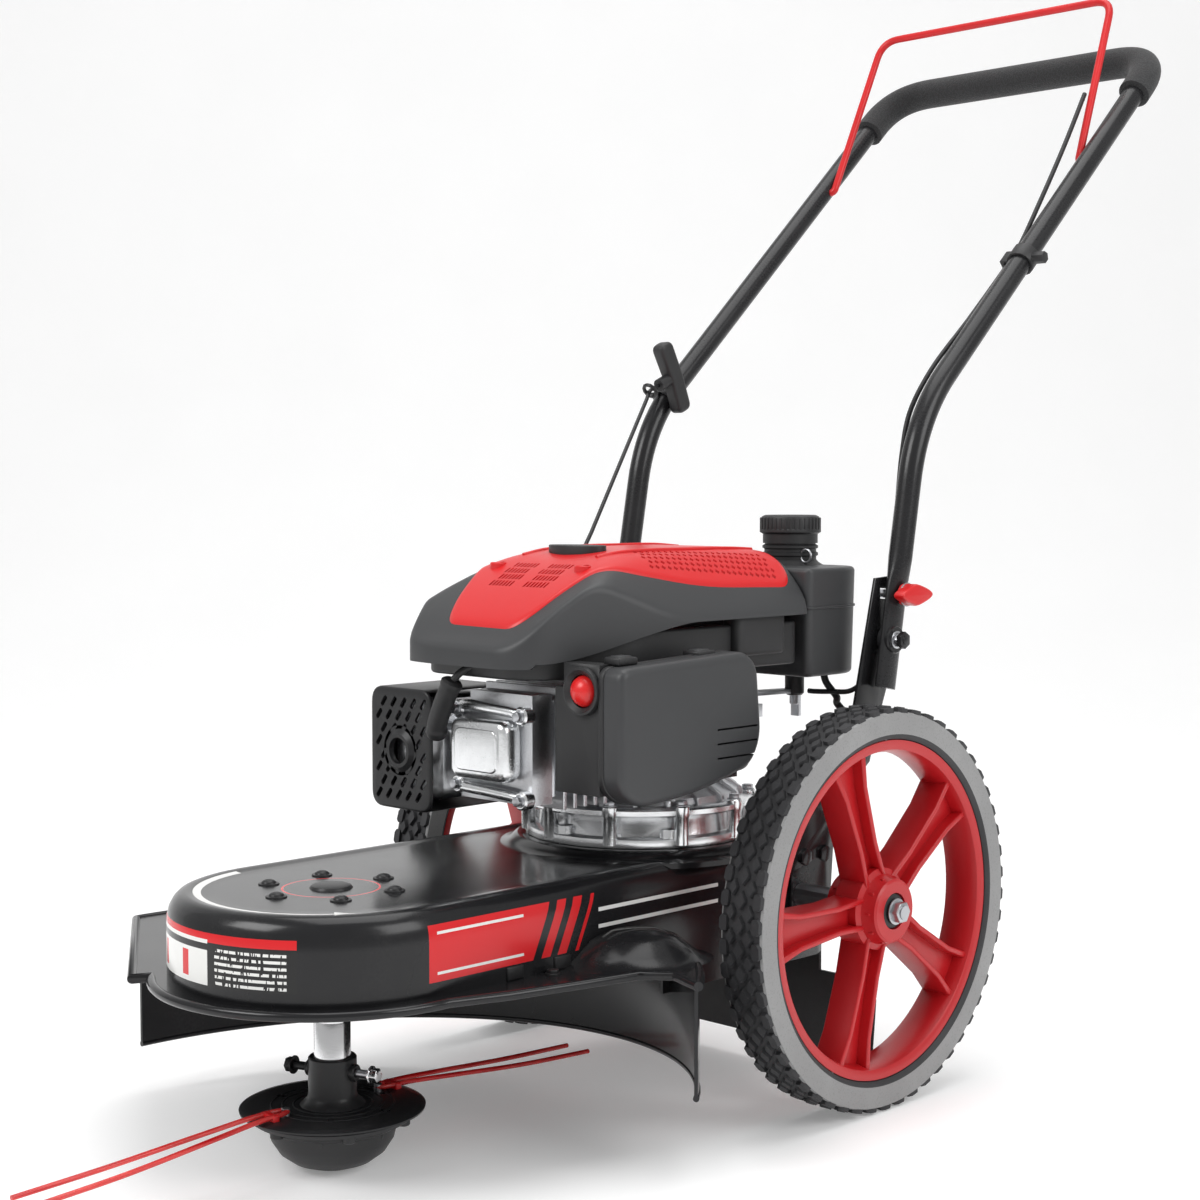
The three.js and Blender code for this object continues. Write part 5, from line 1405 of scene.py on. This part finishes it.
def makeFilterCover():
    face = roundOff(filterCover["face"], filterCover["rounding"], 6)
    shell = prism("cover", face, "x", filterCover["inner"], filterCover["outer"], "grey", 9, 5)
    grooves = [block("cutter", 176, 190, -172, -121, z, z + 1.6, "grey", 0) for z in filterCover["grooves"]]
    shell = carve(shell, *grooves)
    parts = [shell, prism("rim", shrunk(face, 1.008, (-200, 350)), "x", 157.2, 163, "darkPlastic", 1.2)]
    for y in filterCover["latches"]:
        parts.append(block("latch", 150, 168, y - 11, y + 11, 405, 411.6, "darkPlastic", 1.6))
        parts.append(block("latch", 153, 165, y - 7, y + 7, 410, 412.6, "grey", 1.0))
    place(joined("filterCover", parts), "filter_cover", "air_filter_cover", slot="grey_plastic")


# the black box behind the filter cover; it is joined to the intake housing
def makeResonator():
    return prism("resonator", roundOff(filterCover["resonator"], 10, 5), "x", 120, 160, "darkPlastic", 6, 4)


primer = {
    "place": (139, 0, 384),
    "dome": [(0.01, -294), (4, -293.4), (8, -291.4), (11, -288.4), (12.6, -285), (13, -282), (13, -281),
             (0.01, -281)],
    "cup": [(13.6, -286), (17.4, -289), (19.4, -288.6), (20, -286), (20, -276), (13.6, -276)]}


def makePrimer():
    dome = lathe("primerDome", primer["dome"], primer["place"], "y", "primer", 48)
    place(dome, "primer", "primer_bulb", slot="red_rubber")


def makePrimerCup():
    return lathe("cup", primer["cup"], primer["place"], "y", "darkPlastic", 48)


makeTank()
makeCap()
makeFilterCover()
makePrimer()
print("tank and filter made")


mufflerGuard = {
    "box": (-115, -34, 266, 373), "rounding": 15, "front": -297, "rear": -207, "wall": 2.5,
    "slit": [(-5.4, -2.2), (5.4, -2.2), (5.4, 2.2), (-5.4, 2.2)],
    "slitTurn": 52, "columns": 5, "rows": 8, "port": (-75, 318), "portRadius": 18.5,
    "plate": [(11.5, -294.6), (22, -294.6), (22, -297), (19, -297), (15, -300), (11.5, -300)]}


def makeMufflerGuard():
    g = mufflerGuard
    x0, x1, z0, z1 = g["box"]
    wall = g["wall"]
    shell = prism("guard", rectangle(x0, x1, z0, z1, g["rounding"], 6), "y", g["front"], g["rear"],
                  "satinBlack", wall, 3)
    inside = rectangle(x0 + wall, -20, z0 + wall, z1 - wall, g["rounding"] - 3, 6)
    shell = carve(shell, prism("cutter", inside, "y", g["front"] + wall, -190, "satinBlack", 0))
    slit = atOrigin(prism("slot", roundOff(g["slit"], 2.1, 4), "z", -14, 14, "satinBlack", 0))
    slit.data.transform(Matrix.Rotation(math.radians(g["slitTurn"]), 4, "Z"))
    slots = repeated("slots", gridOf, slit, "satinBlack", moved(-77, -296, 319.5, facingFront),
                     Columns=g["columns"], Rows=g["rows"], Pitch_X=13.2 * mm, Pitch_Y=11.6 * mm,
                     Stagger=0.5)
    portX, portZ = g["port"]
    port = rod("cutter", g["portRadius"], "y", (portX, -296, portZ), 20, "satinBlack", 48, 0)
    shell = carve(carve(shell, slots), port)
    plate = lathe("plate", g["plate"], (portX, 0, portZ), "y", "satinBlack", 56)
    place(joined("mufflerGuard", [shell, plate]), "chassis", "muffler_guard", slot="black_steel")


plugBoot = {
    "radius": 8.6,
    "route": [(-17, -305, 336), (-13, -308, 346), (-4, -310, 362), (5, -311, 376), (10, -310, 386)],
    "lead": 3.2,
    "leadRoute": [(10, -310, 386), (16, -304, 394), (28, -292, 399), (44, -276, 401)]}


# the boot has a collar near its foot and a wider head
def bootWidth(t):
    if t in (0, 1):
        return (0.86, 0.86)
    return (1.1, 1.1) if 0.1 < t < 0.2 or t > 0.86 else (1, 1)


def makeBoot():
    boot = sweep("boot", smoothLine(plugBoot["route"], 6), plugBoot["radius"], "rubber", 28, bootWidth)
    lead = sweep("lead", smoothLine(plugBoot["leadRoute"], 6), plugBoot["lead"], "rubber", 14)
    place(joined("sparkBoot", [boot, lead]), "plug_boot", "spark_boot", slot="rubber")


headFit = {
    "bars": ((364, -4), (294, 2)), "radius": 4.6, "lugs": (-4, 74)}


def headFittings():
    parts = []
    for z, tilt in headFit["bars"]:
        route = [(-6, -289, z + tilt), (4, -291, z), (34, -292, z - 1), (66, -291, z - 3),
                 (76, -289, z - 5)]
        route = smoothLine(route, 5)
        parts.append(sweep("bar", route, headFit["radius"], "castSmooth", 16, endsNarrowed(0.8, 0.9)))
        for x in headFit["lugs"]:
            high = z + (tilt if x < 0 else -5)
            parts.append(rod("lug", 8, "y", (x, -288, high), 12, "castSmooth", 28, 1.6))
            parts.append(hexBolt("bolt", (x, -294, high), "y", 8, 5, "zinc", -1))
    return parts


def valvePlate():
    return prism("plate", rectangle(9, 61, 311, 347, 8), "y", -308.6, -305, "castSmooth", 1.4, 3)


sumpFit = {
    "flange": [(88, 262), (101, 262), (104, 264), (104, 268), (101, 270), (92, 271), (88, 271)],
    "post": [(0.01, -24), (6.4, -24), (6.6, 0), (7.4, 1), (7.4, 9), (6.4, 10), (0.01, 10)],
    "shoulder": [(60, 271), (92, 271), (90, 276), (76, 284), (60, 286)],
    "rib": [(56, 268), (96, 268), (94, 276), (74, 290), (56, 292)],
    "bolts": 10, "boltCircle": 100, "ribs": 20}


def sumpFittings():
    middle, circle = (engineX, engineY, 0), sumpFit["boltCircle"] * mm
    parts = [lathe("ring", sumpFit["flange"], middle, "z", "castSmooth", 96)]
    post = atOrigin(lathe("post", sumpFit["post"], (0, 0, 0), "z", "castSmooth", 24))
    parts.append(repeated("posts", ringOf, post, "castSmooth", moved(engineX, engineY, 262),
                          Count=sumpFit["bolts"], Radius=circle, Start=0.2))
    bolt = atOrigin(hexBolt("bolt", (0, 0, 0), "z", 9, 5, "zinc"))
    parts.append(repeated("bolts", ringOf, bolt, "zinc", moved(engineX, engineY, 271.6),
                          Count=sumpFit["bolts"], Radius=circle, Start=0.2))
    parts.append(lathe("shoulder", sumpFit["shoulder"], middle, "z", "cast", 80))
    rib = atOrigin(prism("rib", sumpFit["rib"], "y", -2.2, 2.2, "cast", 0.8))
    parts.append(repeated("ribs", ringOf, rib, "cast", moved(*middle), Count=sumpFit["ribs"],
                          Radius=0.0, Start=0.1))
    return parts


makeMufflerGuard()
makeBoot()
print("engine fittings made")


# a CAD shape kept as it is, with softened edges and any extra parts joined on
def fitted(node, name, body, material, bevel=0.7, segments=2, slot=None, extras=()):
    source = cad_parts[node]
    mesh = source.data.copy()
    mesh.materials.clear()
    form = bmesh.new()
    form.from_mesh(mesh)
    bmesh.ops.remove_doubles(form, verts=form.verts, dist=2e-6)
    bmesh.ops.dissolve_limit(form, angle_limit=math.radians(0.6), verts=form.verts, edges=form.edges)
    bmesh.ops.recalc_face_normals(form, faces=form.faces)
    for face in form.faces:
        face.material_index = 0
    form.to_mesh(mesh)
    form.free()
    piece = newPiece(name, mesh, material, smooth=35)
    piece = rounded(piece, bevel, segments, 38)
    place(joined(name, [piece, *extras]), body, node, slot=slot)


def keptFits():
    plain = [
        ("handle_bracket_left", "bracketLeft", "chassis", "black", "black_steel"),
        ("handle_bracket_right", "bracketRight", "chassis", "black", "black_steel"),
        ("rear_flap", "rearFlap", "chassis", "rubber", "rubber"),
        ("flap_strip", "flapStrip", "chassis", "zinc", "zinc_steel"),
        ("muffler", "mufflerBox", "chassis", "cast", "zinc_steel"),
        ("cylinder_block", "cylinderBlock", "chassis", "cast", "cast_alloy"),
        ("brake_lever", "brakeLever", "brake_arm", "zinc", "zinc_steel"),
        ("cable_clamp", "cableClamp", "handle", "darkPlastic", "black_plastic"),
        ("rope_guide", "ropeGuide", "handle", "satinBlack", "black_steel"),
    ]
    for node, name, body, material, slot in plain:
        fitted(node, name, body, material, 0.6, 2, slot)
    fitted("cylinder_head", "cylinderHead", "chassis", "cast", 0.8, 2, "cast_alloy", headFittings())
    fitted("valve_cover", "valveCover", "chassis", "castSmooth", 1.6, 3, "cast_alloy", [valvePlate()])
    fitted("sump", "sumpCase", "chassis", "castSmooth", 0.8, 2, "cast_alloy", sumpFittings())
    intake = [makePrimerCup(), makeResonator()]
    fitted("intake_housing", "intakeHousing", "chassis", "darkPlastic", 1.6, 3, "black_plastic", intake)


keptFits()
print("kept shapes softened")


# finish for each slot of the CAD nodes that stay in view
finishes = {
    "gloss_black": "black", "gloss_black_tube": "tube", "black_steel": "satinBlack",
    "red_wire": "redWire", "zinc_steel": "zinc", "machined_steel": "zinc", "chrome": "chrome",
    "cast_alloy": "cast", "red_plastic": "red", "red_rim": "rim", "grey_plastic": "grey",
    "black_plastic": "darkPlastic", "rubber": "rubber", "red_rubber": "primer", "tyre": "tread",
    "red_nylon": "nylon", "foam": "foam", "filter_paper": "paper", "rope": "tube"}


def finishFrame():
    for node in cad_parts.values():
        for spot in node.material_slots:
            key = spot.material.name.split(".")[0] if spot.material else ""
            if key in finishes:
                spot.material = look[finishes[key]]


finishFrame()
print("frame finished")


studio = {
    "floorAhead": 9.0, "floorBehind": 2.2, "curve": 2.0, "wallTop": 7.0, "floorHalf": 8, "world": 0.5,
    # place, aim, size and power
    "key": ((-0.6, -2.8, 2.6), (0, 0, 0.4), (1.8, 1.4), 60),
    "fill": ((2.8, 0.4, 1.9), (0, 0, 0.4), (1.6, 1.6), 34),
    "top": ((0.1, 0.2, 3.2), (0, 0, 0.3), (2.6, 2.2), 46)}


# a floor that curves up into a wall behind the machine
def makeFloor():
    mesh = bpy.data.meshes.new("floor")
    back, curve = studio["floorBehind"], studio["curve"]
    profile = [(studio["floorAhead"], 0.0), (-back, 0.0)]
    for k in range(1, 11):
        a = math.radians(9 * k)
        profile.append((-back - curve * math.sin(a), curve - curve * math.cos(a)))
    profile.append((-back - curve, studio["wallTop"]))
    turn = math.radians(view["azimuth"])
    ahead = Vector((math.sin(turn), -math.cos(turn), 0))
    across = Vector((-ahead.y, ahead.x, 0))
    points = []
    for side in (-studio["floorHalf"], studio["floorHalf"]):
        points += [tuple(ahead * d + across * side + Vector((0, 0, z))) for d, z in profile]
    count = len(profile)
    mesh.from_pydata(points, [], [(k, k + 1, count + k + 1, count + k) for k in range(count - 1)])
    for face in mesh.polygons:
        face.use_smooth = True
    floor = bpy.data.objects.new("floor", mesh)
    bpy.context.scene.collection.objects.link(floor)
    made = Surface("floor", Roughness=0.75, Emission_Strength=0.2, Emission_Color=shade(1, 1, 1))
    patches = made.noise(3, 4).ramp(0.35, 0.7) * 0.25
    made.give("Base Color", made.mix(patches, shade(0.86, 0.86, 0.86), shade(0.80, 0.80, 0.80)))
    mesh.materials.append(made.material)


def makeLight(name):
    place, aim, size, power = studio[name]
    data = bpy.data.lights.new(name, "AREA")
    data.shape = "RECTANGLE"
    data.size, data.size_y = size
    data.energy = power
    lamp = bpy.data.objects.new(name, data)
    bpy.context.scene.collection.objects.link(lamp)
    lamp.location = place
    lamp.rotation_euler = (Vector(aim) - Vector(place)).to_track_quat("-Z", "Y").to_euler()


def makeStudio():
    makeFloor()
    for name in ("key", "fill", "top"):
        makeLight(name)
    world = bpy.data.worlds.new("studio")
    bpy.context.scene.world = world
    world.use_nodes = True
    background = world.node_tree.nodes["Background"]
    background.inputs["Color"].default_value = shade(1, 1, 1)
    background.inputs["Strength"].default_value = studio["world"]


makeStudio()
bpy.context.scene.view_settings.view_transform = "Standard"
print("studio made")
